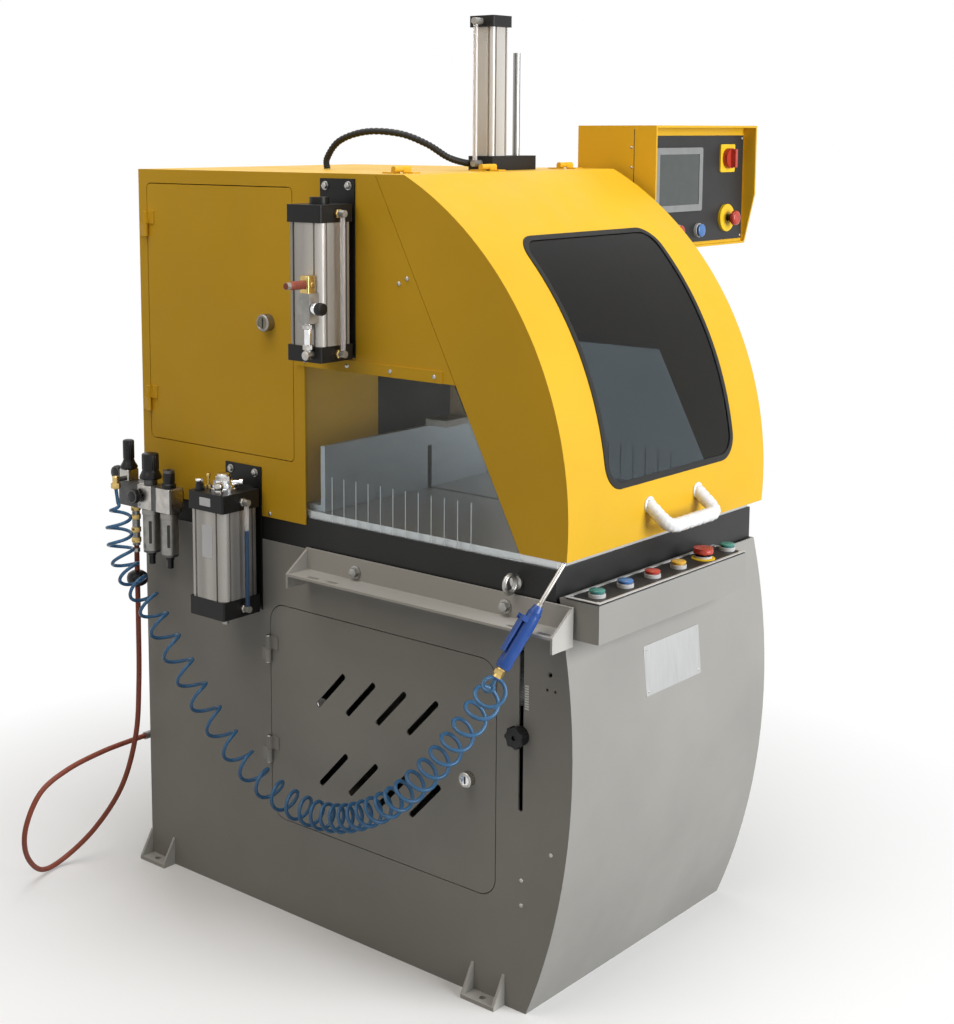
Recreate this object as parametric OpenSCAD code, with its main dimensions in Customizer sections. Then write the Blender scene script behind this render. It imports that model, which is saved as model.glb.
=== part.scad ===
// Upcut saw: a floor machine whose toothed blade swings up through the table under a hinged curved hood.
// Millimetres. +X is the operator's right, -Y the front, +Z up.
// The origin is on the floor, midway between the foot holes.

/* [Cabinet] */
// Width of the cabinet, the housing and the hood
body_w = 720; // [600:10:900]
// Height of the cabinet under the deck
cab_h = 835; // [700:5:950]
// Rear face of the cabinet, behind the origin
rear_y = 529; // [460:1:600]
// Radius of the bowed front sheet
front_r = 1371; // [1200:1:1600]
// Frontmost line of the bowed front sheet, ahead of the origin
front_out = 687; // [640:1:730]
// Height of the frontmost line of the bow, as a share of the cabinet's height
bow_share = 0.624; // [0.5:0.001:0.7]
// Sheet thickness of the cabinet
cab_wall = 4; // [2:0.5:8]

/* [Deck and fence] */
// Height of the deck band
deck_h = 66.8; // [50:0.1:90]
// Thickness of the deck web and skirt
deck_wall = 12; // [8:1:20]
// Thickness of the table plate
table_t = 15; // [10:1:25]
// Width of the blade slot
slot_w = 14; // [10:1:24]
// Height of the fence over the table
fence_h = 140; // [80:1:180]
// Front face of the fence, ahead of the origin
fence_front = 30; // [20:1:60]

/* [Housing and hood] */
// Top of the housing and of the hood
top_z = 1627; // [1500:1:1700]
// Sheet thickness of the housing and of the hood
skin = 3; // [2:0.5:5]
// Radius of the hood's front
hood_r = 718.5; // [650:0.5:800]
// Line where the hood's arc meets its flat top, ahead of the origin
hood_crest = 267.6; // [240:0.1:300]
// Hinge line of the hood, ahead of the origin
hinge_front = 190; // [150:1:230]
// Width of the hood window
window_w = 470; // [350:5:600]
// Lower edge of the window over the hood's lower edge
window_up = 112; // [95:1:180]
// Upper edge of the window below the hood's top
window_down = 119.5; // [100:0.5:180]
// Height of the side openings over the table
bay_h = 308.7; // [250:0.1:340]

/* [Blade drive] */
// Radius of the saw blade
blade_r = 228; // [180:1:250]
// Thickness of the saw blade
blade_t = 4; // [3:0.5:6]
// Teeth of the saw blade
teeth = 60; // [24:2:96]
// Pivot line of the swing arm, behind the origin
pivot_y = 200; // [150:1:260]
// Depth of the pivot line below the cabinet's top
pivot_down = 98; // [80:1:120]
// Length of the swing arm from pivot to arbor
arm_len = 380; // [340:1:420]
// Drop of the arm below level at rest
arm_drop_angle = 12.5; // [8:0.5:15]
// Radius of the pivot shaft
pivot_r = 20; // [15:1:25]
// Radius of the arbor
arbor_r = 15; // [12:1:20]
// Radius of the belt grooves
groove_r = 47; // [40:1:55]

/* [Controls] */
// Pitch of the front buttons
button_pitch = 94; // [70:1:110]
// Radius of a push button
button_r = 12; // [9:0.5:16]
// Radius of a stop button's head
stop_r = 20; // [16:0.5:25]

/* [Hoses] */
// Diameter of the air hose
hose_d = 12; // [8:1:16]
// Diameter of the curled hose's tube
coil_d = 8; // [6:0.5:8]
// Mean radius of a curl
coil_r = 27; // [22:1:32]
// Number of curls
curls = 36; // [20:1:60]

/* [Hidden] */
$fn = 48;
arc_fn = 240;
// Reach of a cut past the face it opens
over = 5;
// Seat gap between pieces and running gap of a shaft or slide
seat = 0.25;
run = 0.05;
gap = 1.5;

half_w = body_w / 2;
in_w = half_w - skin;
deck_half = in_w - 2 * seat;
deck_z = cab_h + seat;
web_z = deck_z + deck_h - deck_wall;
plate_z = deck_z + deck_h + seat;
table_z = plate_z + table_t;
left_x = -half_w;
half_turn = 180;
full_turn = 360;

// Setbacks from the frontmost line, and the lines that follow from them
deck_inset = 46;
hood_inset = 17.5;
seam_inset = 110.5;
hood_up = 2.7;
seam_drop = 4;
front_y = -front_out;
front_arc_y = front_r - front_out;
front_arc_z = cab_h * bow_share;
deck_front = front_out - deck_inset;
hood_front = front_out - hood_inset;
seam_front = hood_front - seam_inset;
hood_bottom = table_z + hood_up;
hood_arc_y = hood_r - hood_front;
hood_arc_z = top_z - sqrt(pow(hood_r, 2) - pow(hood_r - hood_front + hood_crest, 2));
canopy_z = table_z + bay_h;
pivot_z = cab_h - pivot_down;
arm_angle = half_turn + arm_drop_angle;
arbor_y = pivot_y + arm_len * cos(arm_angle);
arbor_z = pivot_z + arm_len * sin(arm_angle);
lift_reach = 250;
lift_y = pivot_y + lift_reach * cos(arm_angle);
lift_z = pivot_z + lift_reach * sin(arm_angle);

// Seam between hood and housing, as a line in the side view
seam_low_z = hood_bottom - seam_drop;
seam_slope = (seam_front - hinge_front) / (top_z - seam_low_z);
function seam_y(z) = -hinge_front - seam_slope * (top_z - z);

// Side view profiles become plates along X, front views become plates along Y
module along_x(x0, x1) {
  translate([x0, 0, 0]) rotate([90, 0, 90]) linear_extrude(x1 - x0) children();
}
module along_y(y0, y1) {
  translate([0, y1, 0]) rotate([90, 0, 0]) linear_extrude(y1 - y0) children();
}
module block(x, y, z) {
  translate([x[0], y[0], z[0]]) cube([x[1] - x[0], y[1] - y[0], z[1] - z[0]]);
}
module rod_x(r, x, y, z) {
  translate([x[0], y, z]) rotate([0, 90, 0]) cylinder(r = r, h = x[1] - x[0]);
}
module rod_y(r, x, y, z) {
  translate([x, y[0], z]) rotate([-90, 0, 0]) cylinder(r = r, h = y[1] - y[0]);
}
module rod_z(r, x, y, z) {
  translate([x, y, z[0]]) cylinder(r = r, h = z[1] - z[0]);
}
module round_rect(w, h, r) {
  square([w, h - 2 * r], center = true);
  square([w - 2 * r, h], center = true);
  for (sx = [-1, 1], sy = [-1, 1]) translate([sx * (w / 2 - r), sy * (h / 2 - r)]) circle(r);
}
module slot_2d(len, r, angle) {
  rotate(angle) {
    square([len - 2 * r, 2 * r], center = true);
    for (s = [-1, 1]) translate([s * (len / 2 - r), 0]) circle(r);
  }
}
// Shape along the line from a to b, with its local z on that line
function line_len(a, b) = norm(b - a);
function line_tilt(a, b) = acos((b - a)[2] / norm(b - a));
function line_turn(a, b) = atan2((b - a)[1], (b - a)[0]);
module on_line(a, b) {
  translate(a) rotate([0, line_tilt(a, b), line_turn(a, b)]) children();
}

// Cabinet door, hinges, slot and feet
cdoor_in = 182;
cdoor_rear = 117;
cdoor_low_share = 0.2575;
cdoor_down = 138;
cdoor_y = [front_y + cdoor_in, cdoor_rear];
cdoor_z = [cab_h * cdoor_low_share, cab_h - cdoor_down];
cdoor_corner = 40;
door_gap = 2;
door_rim = 14;
door_rim_in = 12;
vent_first = [-62, -69];
vent_down = [158, 331.5];
vent_rows = [for (i = [0, 1]) [vent_first[i], cdoor_z[1] - vent_down[i]]];
vent_pitch = 85;
vent_count = 4;
vent_len = 117;
vent_r = 6.5;
vent_angle = -47;
hinge_len = 57;
chinge_in = [125, 73];
chinge_z = [[cdoor_z[0] + chinge_in[0], cdoor_z[0] + chinge_in[0] + hinge_len],
  [cdoor_z[1] - chinge_in[1] - hinge_len, cdoor_z[1] - chinge_in[1]]];
hinge_out = 7;
knuckle_r = 6;
pin_r = 3.5;
leaf = 24;
leaf_t = 3;
latch_in_at = [66, 252];
latch_at = [cdoor_y[0] + latch_in_at[0], cdoor_z[1] - latch_in_at[1]];
latch_r = 15;
latch_h = 14;
latch_stem = 6;
latch_in = 16;
cam_len = 26;
cam_w = 12;
stroke_in = 121;
stroke_down = [424, 79];
stroke_knob_down = 270;
stroke_y = front_y + stroke_in;
stroke_z = [cab_h - stroke_down[0], cab_h - stroke_down[1]];
stroke_r = 5.5;
stroke_knob_z = cab_h - stroke_knob_down;
stroke_knob_r = 22.5;
stroke_knob_h = 24;
stroke_stud_r = 5;
stroke_nut = 16;
stroke_lobes = 7;
foot_in = 39;
foot_y = rear_y - foot_in;
foot_hole_out = 17;
foot_hole_x = half_w + foot_hole_out;
foot_len = 84;
foot_out = 35;
foot_t = 8;
foot_up = 65;
foot_hole_r = 7;
gusset_t = 6;
scale_holes = [[54, 136, 5], [61, 167, 3], [42, 167, 3]];
beam_down = [420.9, 382.9];
beam_z = [lift_z - beam_down[0], lift_z - beam_down[1]];
beam_half = 45;
dust_at = [200, 180];
dust_r = 60;
dust_out = 45;

module cabinet_profile(inset) {
  intersection() {
    translate([front_arc_y, front_arc_z]) circle(front_r - inset, $fn = arc_fn);
    translate([-front_r, inset == 0 ? 0 : -over])
      square([front_r + rear_y - inset, cab_h + (inset == 0 ? 0 : 2 * over)]);
  }
}
module cabinet_door_shape(grow) {
  translate([(cdoor_y[0] + cdoor_y[1]) / 2, (cdoor_z[0] + cdoor_z[1]) / 2])
    round_rect(cdoor_y[1] - cdoor_y[0] + 2 * grow, cdoor_z[1] - cdoor_z[0] + 2 * grow, cdoor_corner + grow);
}
module base_cabinet() {
  color([0.42, 0.42, 0.4]) difference() {
    union() {
      difference() {
        along_x(left_x, half_w) cabinet_profile(0);
        along_x(left_x + cab_wall, half_w - cab_wall) cabinet_profile(cab_wall);
      }
      block([left_x + cab_wall / 2, half_w - cab_wall / 2], [lift_y - beam_half, lift_y + beam_half], beam_z);
      rod_y(dust_r + cab_wall, dust_at[0], [rear_y - cab_wall / 2, rear_y + dust_out], dust_at[1]);
    }
    along_x(left_x - over, left_x + cab_wall + over) {
      cabinet_door_shape(door_gap);
      translate([stroke_y, (stroke_z[0] + stroke_z[1]) / 2])
        slot_2d(stroke_z[1] - stroke_z[0], stroke_r, 90);
      for (h = scale_holes) translate([front_y + h[0], cab_h - h[1]]) circle(h[2]);
    }
    rod_y(dust_r, dust_at[0], [rear_y - cab_wall - over, rear_y + dust_out + over], dust_at[1]);
  }
}
module floor_feet() {
  color([0.42, 0.42, 0.4]) for (sx = [-1, 1], sy = [-1, 1]) {
    x = [sx > 0 ? half_w + seat : left_x - seat - foot_out,
      sx > 0 ? half_w + seat + foot_out : left_x - seat];
    difference() {
      union() {
        block(x, [sy * foot_y - foot_len / 2, sy * foot_y + foot_len / 2], [0, foot_t]);
        for (g = [-1, 1]) {
          y0 = sy * foot_y + g * (foot_len - gusset_t) / 2 - gusset_t / 2;
          along_y(y0, y0 + gusset_t)
            polygon([[sx * (half_w + seat), 0], [sx * (half_w + seat + foot_out), 0],
              [sx * (half_w + seat + foot_out), foot_t], [sx * (half_w + seat), foot_up]]);
        }
      }
      rod_z(foot_hole_r, sx * foot_hole_x, sy * foot_y, [-over, foot_t + over]);
    }
  }
}
module cabinet_door() {
  color([0.4, 0.4, 0.38]) {
    difference() {
      union() {
        along_x(left_x, left_x + skin) cabinet_door_shape(0);
        along_x(left_x + skin / 2, left_x + door_rim) difference() {
          cabinet_door_shape(-skin);
          cabinet_door_shape(-door_rim_in);
        }
        for (z = chinge_z) door_knuckle(cdoor_y[1] + door_gap / 2, z);
      }
      along_x(left_x - over, left_x + skin + over) {
        for (row = vent_rows, i = [0 : vent_count - 1])
          translate([row[0] - i * vent_pitch, row[1]]) slot_2d(vent_len, vent_r, vent_angle);
        translate(latch_at) circle(latch_stem + run);
      }
      for (z = chinge_z)
        rod_z(pin_r + run, left_x - hinge_out, cdoor_y[1] + door_gap / 2, [z[0] - over, z[1] + over]);
    }
  }
}
// Upper half of a hinge, on the door, with its leaf on the door's face
module door_knuckle(y, z) {
  mid = (z[0] + z[1]) / 2 + seat;
  rod_z(knuckle_r, left_x - hinge_out, y, [mid, z[1]]);
  block([left_x - leaf_t, left_x + leaf_t / 4], [y - leaf, y - pin_r], [mid, z[1]]);
  block([left_x - hinge_out, left_x - leaf_t / 2], [y - knuckle_r, y - pin_r], [mid, z[1]]);
}
module turn_latch(y, z, r, h) {
  difference() {
    union() {
      rod_x(r, [left_x - seat - h, left_x - seat], y, z);
      rod_x(latch_stem, [left_x - h / 2, left_x + latch_in], y, z);
      block([left_x + latch_in - skin, left_x + latch_in], [y - cam_w / 2, y + cam_w / 2], [z - cam_len, z]);
    }
    block([left_x - h - over, left_x - seat - h / 2], [y - cam_w / 5, y + cam_w / 5], [z - r / 2, z + r / 2]);
  }
}
module cabinet_latch() {
  color([0.8, 0.8, 0.8]) turn_latch(latch_at[0], latch_at[1], latch_r, latch_h);
}
module stroke_knob() {
  x0 = left_x - seat - stroke_knob_h;
  color([0.1, 0.1, 0.1]) difference() {
    union() {
      rod_x(stroke_knob_r - stroke_nut / 5, [x0, left_x - seat], stroke_y, stroke_knob_z);
      for (i = [0 : stroke_lobes - 1]) {
        a = full_turn * i / stroke_lobes;
        lobe_at = stroke_knob_r - stroke_nut / 3;
        rod_x(stroke_nut / 3, [x0, x0 + stroke_knob_h * 2 / 3], stroke_y + lobe_at * cos(a),
          stroke_knob_z + lobe_at * sin(a));
      }
      rod_x(stroke_stud_r, [left_x - over, left_x + cab_wall + stroke_nut], stroke_y, stroke_knob_z);
      rod_x(stroke_nut, [left_x + cab_wall + seat, left_x + cab_wall + stroke_nut / 2], stroke_y,
        stroke_knob_z);
    }
    rod_x(stroke_stud_r, [x0 - over, x0 + stroke_nut / 4], stroke_y, stroke_knob_z);
  }
}

// Deck, table and fence
slot_short = 1;
slot_half = blade_r - slot_short;
slot_y = [arbor_y - slot_half, arbor_y + slot_half];
fence_t = 12;
fence_foot = 46;
fence_in = 20;
fence_half = half_w - fence_in;
table_in = 6;
table_half = deck_half - table_in;
notch_h = 95;
module table_deck() {
  color([0.12, 0.12, 0.12]) difference() {
    block([-deck_half, deck_half], [-deck_front, rear_y - skin - 2 * seat], [deck_z, deck_z + deck_h]);
    block([-deck_half + deck_wall, deck_half - deck_wall],
      [-deck_front + deck_wall, rear_y - skin - deck_wall], [deck_z - over, web_z]);
    block([-slot_w / 2, slot_w / 2], slot_y, [web_z - over, plate_z]);
    rod_x(eye_stem, [-deck_half - over, -deck_half + deck_wall + over], eye_at[0], eye_at[1]);
  }
}
module table_top() {
  color([0.75, 0.76, 0.77]) difference() {
    block([-table_half, table_half], [-deck_front + skin, wall_y], [plate_z, table_z]);
    block([-slot_w / 2, slot_w / 2], slot_y, [plate_z - over, table_z + over]);
  }
}
module rear_fence() {
  z0 = table_z + seat;
  color([0.6, 0.6, 0.6]) difference() {
    along_x(-fence_half, fence_half) polygon([[-fence_front, z0], [-fence_front + fence_foot, z0],
      [-fence_front + fence_foot, z0 + fence_t], [-fence_front + fence_t, z0 + fence_t],
      [-fence_front + fence_t, z0 + fence_h], [-fence_front, z0 + fence_h]]);
    block([-slot_w / 2, slot_w / 2], [-fence_front - over, -fence_front + fence_foot + over],
      [z0 - over, z0 + notch_h]);
  }
}

// Rear housing, its inner wall, doors and curtains
wall_y = 62;
side_front = 9;
house_up = 51.75;
house_z = deck_z + house_up;
edoor_front = 42;
edoor_in = 29;
edoor_up = 132;
edoor_down = 32;
edoor_y = [edoor_front, rear_y - edoor_in];
edoor_z = [house_z + edoor_up, top_z - edoor_down];
edoor_corner = 10;
ehinge_in = 61;
ehinge_z = [[edoor_z[0] + ehinge_in, edoor_z[0] + ehinge_in + hinge_len],
  [edoor_z[1] - ehinge_in - hinge_len, edoor_z[1] - ehinge_in]];
elatch_in = [72, 291];
elatch_at = [edoor_y[0] + elatch_in[0], edoor_z[0] + elatch_in[1]];
elatch_r = 18;
elatch_h = 18;
rail_h = 24;
rail_t = 3;
rail_in = 320;
rail_rear = 30;
rail_y = [front_y + rail_in, rail_rear];
curtain_t = 3;
curtain_up = 18;
curtain_top = canopy_z + curtain_up;
curtain_rear = 34;
slit_in = 250;
slit_rear = -66;
slit_y = [front_y + slit_in, slit_rear];
slits = 12;
slit_w = 1.5;
slit_up = 82.7;
slit_top = table_z + slit_up;
panel_in = 59;
panel_y = rear_y - panel_in;
panel_t = 4;
panel_inset = 60;
din_h = 35;
din_out = 8;
contactor = [45, 60, 80];
contactors = 5;
contactor_pitch = 70;
din_up = [141, 311, 461];
rod_clear = 4;

module electrical_door_shape(grow) {
  translate([(edoor_y[0] + edoor_y[1]) / 2, (edoor_z[0] + edoor_z[1]) / 2])
    round_rect(edoor_y[1] - edoor_y[0] + 2 * grow, edoor_z[1] - edoor_z[0] + 2 * grow, edoor_corner + grow);
}
module rear_housing() {
  color([0.9, 0.72, 0.2]) difference() {
    union() {
      difference() {
        along_x(left_x, half_w) polygon([[rear_y, house_z], [side_front, house_z], [side_front, canopy_z],
          [seam_y(canopy_z), canopy_z], [seam_y(top_z), top_z], [rear_y, top_z]]);
        block([-in_w, in_w], [wall_y + skin, rear_y - skin], [house_z - over, top_z - skin]);
        block([-in_w, in_w], [-front_r, wall_y], [house_z - over, top_z - skin]);
        block([-in_w, in_w], [0, rear_y - skin], [house_z - over, table_z + seat]);
      }
      for (sx = [-1, 1]) {
        x = [sx > 0 ? half_w - skin / 2 : left_x - rail_t, sx > 0 ? half_w + rail_t : left_x + skin / 2];
        block(x, rail_y, [canopy_z, canopy_z + rail_h]);
      }
    }
    along_x(left_x - over, left_x + skin + over) electrical_door_shape(door_gap);
    rod_z(rod_r + rod_clear, clamp_at[0], clamp_at[1], [top_z - skin - over, top_z + over]);
    rod_z(guide_r + rod_clear, guide_x, clamp_at[1], [top_z - skin - over, top_z + over]);
  }
}
module electrical_panel() {
  color([0.8, 0.8, 0.8]) {
    y1 = rear_y - skin - seat;
    block([-in_w + panel_inset, in_w - panel_inset], [panel_y, panel_y + panel_t], [edoor_z[0], edoor_z[1]]);
    for (sx = [-1, 1], z = [edoor_z[0] + panel_inset, edoor_z[1] - panel_inset])
      rod_y(din_out, sx * (in_w - 2 * panel_inset), [panel_y + panel_t / 2, y1], z);
    for (up = din_up) {
      z = edoor_z[0] + up;
      block([-in_w + 2 * panel_inset, in_w - 2 * panel_inset], [panel_y - din_out, panel_y + panel_t / 2],
        [z - din_h / 2, z + din_h / 2]);
      for (i = [0 : contactors - 1])
        translate([(i - (contactors - 1) / 2) * contactor_pitch, panel_y - din_out / 2 - contactor[1] / 2, z])
          cube(contactor, center = true);
    }
  }
}
// Stiffening rim of the door, which starts behind the inner wall
module electrical_door_rim(inset, front_inset) {
  y0 = wall_y + skin + gap + front_inset;
  translate([y0, edoor_z[0] + inset])
    square([edoor_y[1] - inset - y0, edoor_z[1] - edoor_z[0] - 2 * inset]);
}
module electrical_door() {
  color([0.88, 0.7, 0.2]) difference() {
    union() {
      along_x(left_x, left_x + skin) electrical_door_shape(0);
      along_x(left_x + skin / 2, left_x + door_rim) difference() {
        electrical_door_rim(skin, 0);
        electrical_door_rim(door_rim_in, door_rim_in - skin);
      }
      for (z = ehinge_z) door_knuckle(edoor_y[1] + door_gap / 2, z);
    }
    rod_x(latch_stem + run, [left_x - over, left_x + skin + over], elatch_at[0], elatch_at[1]);
    for (z = ehinge_z)
      rod_z(pin_r + run, left_x - hinge_out, edoor_y[1] + door_gap / 2, [z[0] - over, z[1] + over]);
  }
}
module electrical_latch() {
  color([0.1, 0.1, 0.1]) turn_latch(elatch_at[0], elatch_at[1], elatch_r, elatch_h);
}
module side_curtains() {
  z0 = plate_z + gap;
  color([0.75, 0.82, 0.9, 0.5]) for (sx = [-1, 1]) {
    x0 = sx > 0 ? in_w - 2 * seat - curtain_t : -in_w + 2 * seat;
    along_x(x0, x0 + curtain_t) difference() {
      polygon([[curtain_rear, z0], [curtain_rear, curtain_top], [seam_y(curtain_top) + over, curtain_top],
        [seam_y(z0) + over, z0]]);
      for (i = [0 : slits - 1])
        translate([slit_y[0] + (slit_y[1] - slit_y[0]) * i / (slits - 1) - slit_w / 2, z0 - over])
          square([slit_w, slit_top - z0 + over]);
    }
  }
}

// Hood with its window, gasket, handle and hinges
hood_hinge_in = 80;
hood_hinges = [-half_w + hood_hinge_in, 0, half_w - hood_hinge_in];
hood_hinge_half = 24;
hood_hinge_up = 9;
hood_corner = 50;
gasket_w = 12;
gasket_out = 2;
pane_t = 4;
handle_half = 89.5;
handle_up = 66;
handle_z = hood_bottom + handle_up;
handle_r = 13;
handle_out = 48;
handle_drop = 38;
leg_r = 12;
// Angles of the window's edges on the hood's arc, in whole steps
window_step_angle = 0.5;
function arc_angle(z) = round(asin((z - hood_arc_z) / hood_r) / window_step_angle) * window_step_angle;
window_low_angle = arc_angle(hood_bottom + window_up);
window_high_angle = arc_angle(top_z - window_down);
window_mid_angle = (window_low_angle + window_high_angle) / 2;
window_h = 2 * hood_r * sin((window_high_angle - window_low_angle) / 2);
back_cut = 20;

module hood_profile(inset) {
  d = inset == 0 ? 0 : back_cut;
  intersection() {
    translate([hood_arc_y, hood_arc_z]) circle(hood_r - inset, $fn = arc_fn);
    polygon([[seam_y(hood_bottom - d) - gap + d, hood_bottom - d], [-hood_r * 2, hood_bottom - d],
      [-hood_r * 2, top_z - inset], [seam_y(top_z) - gap + d, top_z - inset]]);
  }
}
// Window outline, looking at the hood along the middle angle of the window
module window_prism(grow) {
  translate([0, hood_arc_y, hood_arc_z]) rotate([90 - window_mid_angle, 0, 0])
    linear_extrude(hood_r + hood_corner)
      round_rect(window_w + 2 * grow, window_h + 2 * grow, hood_corner + grow);
}
module hood_ring(r0, r1) {
  translate([-half_w, hood_arc_y, hood_arc_z]) rotate([0, 90, 0]) difference() {
    cylinder(r = r1, h = body_w, $fn = arc_fn);
    translate([0, 0, -over]) cylinder(r = r0, h = body_w + 2 * over, $fn = arc_fn);
  }
}
module hood() {
  color([0.93, 0.75, 0.22]) difference() {
    union() {
      difference() {
        along_x(left_x, half_w) hood_profile(0);
        along_x(-in_w, in_w) hood_profile(skin);
        window_prism(0);
      }
      for (x = hood_hinges) {
        rod_x(knuckle_r, [x + seat, x + hood_hinge_half], -hinge_front, top_z + hood_hinge_up);
        block([x + seat, x + hood_hinge_half], [-hinge_front - leaf - knuckle_r, -hinge_front - pin_r - gap],
          [top_z - skin / 2, top_z + leaf_t]);
        block([x + seat, x + hood_hinge_half], [-hinge_front - knuckle_r, -hinge_front - pin_r - gap / 2],
          [top_z + leaf_t / 2, top_z + hood_hinge_up]);
      }
    }
    for (x = hood_hinges)
      rod_x(pin_r + run, [x - over, x + hood_hinge_half + over], -hinge_front, top_z + hood_hinge_up);
  }
}
module hood_window() {
  color([0.2, 0.25, 0.28, 0.6]) intersection() {
    hood_ring(hood_r - pane_t, hood_r);
    window_prism(-gasket_w - seat);
  }
}
module window_gasket() {
  color([0.05, 0.05, 0.05]) intersection() {
    hood_ring(hood_r - pane_t, hood_r + gasket_out);
    difference() {
      window_prism(-seat);
      window_prism(-gasket_w);
    }
  }
}
module hood_handle() {
  foot_y = hood_arc_y - sqrt(hood_r * hood_r - pow(handle_z - hood_arc_z, 2));
  bar_y = foot_y - handle_out;
  bar_z = handle_z - handle_drop;
  color([0.93, 0.93, 0.93]) {
    rod_x(handle_r, [-handle_half - handle_r, handle_half + handle_r], bar_y, bar_z);
    difference() {
      for (sx = [-1, 1]) {
        bar = [sx * handle_half, bar_y, bar_z];
        foot = [sx * handle_half, foot_y + leg_r, handle_z + leg_r * handle_drop / handle_out];
        on_line(bar, foot) cylinder(r = leg_r, h = line_len(bar, foot));
      }
      translate([-half_w, hood_arc_y, hood_arc_z]) rotate([0, 90, 0])
        cylinder(r = hood_r + gap / 2, h = body_w, $fn = arc_fn);
    }
  }
}
// Fixed hinge halves with their pins: three for the hood, two for each door
module hinge_bases() {
  color([0.85, 0.72, 0.3]) {
    for (x = hood_hinges) {
      zc = top_z + hood_hinge_up;
      rod_x(pin_r, [x - hood_hinge_half, x + hood_hinge_half], -hinge_front, zc);
      rod_x(knuckle_r, [x - hood_hinge_half, x - seat], -hinge_front, zc);
      block([x - hood_hinge_half, x - seat], [-hinge_front + pin_r, -hinge_front + leaf + knuckle_r],
        [top_z + seat, top_z + leaf_t]);
      block([x - hood_hinge_half, x - seat], [-hinge_front + pin_r, -hinge_front + knuckle_r],
        [top_z + seat, zc]);
    }
    for (z = chinge_z) door_hinge_base(cdoor_y[1] + door_gap / 2, z);
    for (z = ehinge_z) door_hinge_base(edoor_y[1] + door_gap / 2, z);
  }
}
module door_hinge_base(y, z) {
  mid = (z[0] + z[1]) / 2 - seat;
  x = left_x - hinge_out;
  rod_z(pin_r, x, y, z);
  rod_z(knuckle_r, x, y, [z[0], mid]);
  block([left_x - leaf_t, left_x - seat], [y + pin_r, y + leaf], [z[0], mid]);
  block([x, left_x - seat], [y + pin_r, y + knuckle_r], [z[0], mid]);
}

// Blade, arbor, arm, motor, belts and lift
motor_off = [130, -177];
motor_at = [pivot_y, pivot_z] + motor_off;
motor_r = 90;
motor_x = [-60, 168];
motor_shaft_r = 14;
flange_r = 55;
flange_t = 12;
nut_r = 22;
nut_t = 16;
house_x = [20, 190];
side_a = [170, 190];
side_b = [30, 50];
tube_r = 36;
arbor_tube_r = 45;
web_half = 26;
pulley_x = [205, 250];
groove_x = [212, 228];
groove_pitch = 16;
belt_w = 9.4;
belt_t = 7;
belt_arc = 16;
shaft_x = [5, 255];
hanger_t = 20;
hanger_half = 45;
hanger_low = 42;
lift_x = 110;
lift_pin_r = 8;
lift_barrel_r = 40;
lift_barrel_down = 122.9;
lift_barrel_z = [beam_z[1] + seat, lift_z - lift_barrel_down];
lift_rod_r = 10;
lift_rod_in = 130;
lift_eye = 17;
lift_eye_half = 30;
lug_x = [34, 46];
lug_slot = 5;
lug_clear = 1.2;
lug_half = 24;
tooth_depth_share = 0.04;
tooth_lean_share = 0.2;
cheek_share = 0.9;
fan_share = 0.85;
box_share = 1.3;
lug_share = 1.5;
blade_body = blade_r * (1 - tooth_depth_share);

module saw_blade() {
  color([0.7, 0.72, 0.74]) along_x(-blade_t / 2, blade_t / 2) translate([arbor_y, arbor_z]) difference() {
    polygon([for (i = [0 : teeth - 1], k = [0, 1])
      let (a = full_turn * (i + k * tooth_lean_share) / teeth, r = k == 0 ? blade_body : blade_r)
        [r * cos(a), r * sin(a)]]);
    circle(arbor_r + run);
  }
}
module arbor() {
  color([0.6, 0.6, 0.62]) {
    difference() {
      union() {
        rod_x(arbor_r, [-blade_t - flange_t - nut_t, pulley_x[1]], arbor_y, arbor_z);
        rod_x(flange_r, [blade_t / 2 + seat, blade_t / 2 + flange_t], arbor_y, arbor_z);
        rod_x(groove_r + belt_t, pulley_x, arbor_y, arbor_z);
      }
      pulley_grooves(arbor_y, arbor_z);
    }
    difference() {
      union() {
        rod_x(flange_r, [-blade_t / 2 - flange_t, -blade_t / 2 - seat], arbor_y, arbor_z);
        along_x(-blade_t / 2 - flange_t - nut_t, -blade_t / 2 - flange_t / 2)
          translate([arbor_y, arbor_z]) circle(nut_r, $fn = 6);
      }
      rod_x(arbor_r + run, [-body_w, 0], arbor_y, arbor_z);
    }
  }
}
module pulley_grooves(y, z) {
  for (i = [0, 1]) {
    x0 = groove_x[0] + i * groove_pitch;
    translate([x0, y, z]) rotate([0, 90, 0]) difference() {
      cylinder(r = groove_r + belt_t + over, h = belt_w + 2 * seat);
      cylinder(r = groove_r, h = belt_w + 2 * seat);
    }
  }
}
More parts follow.
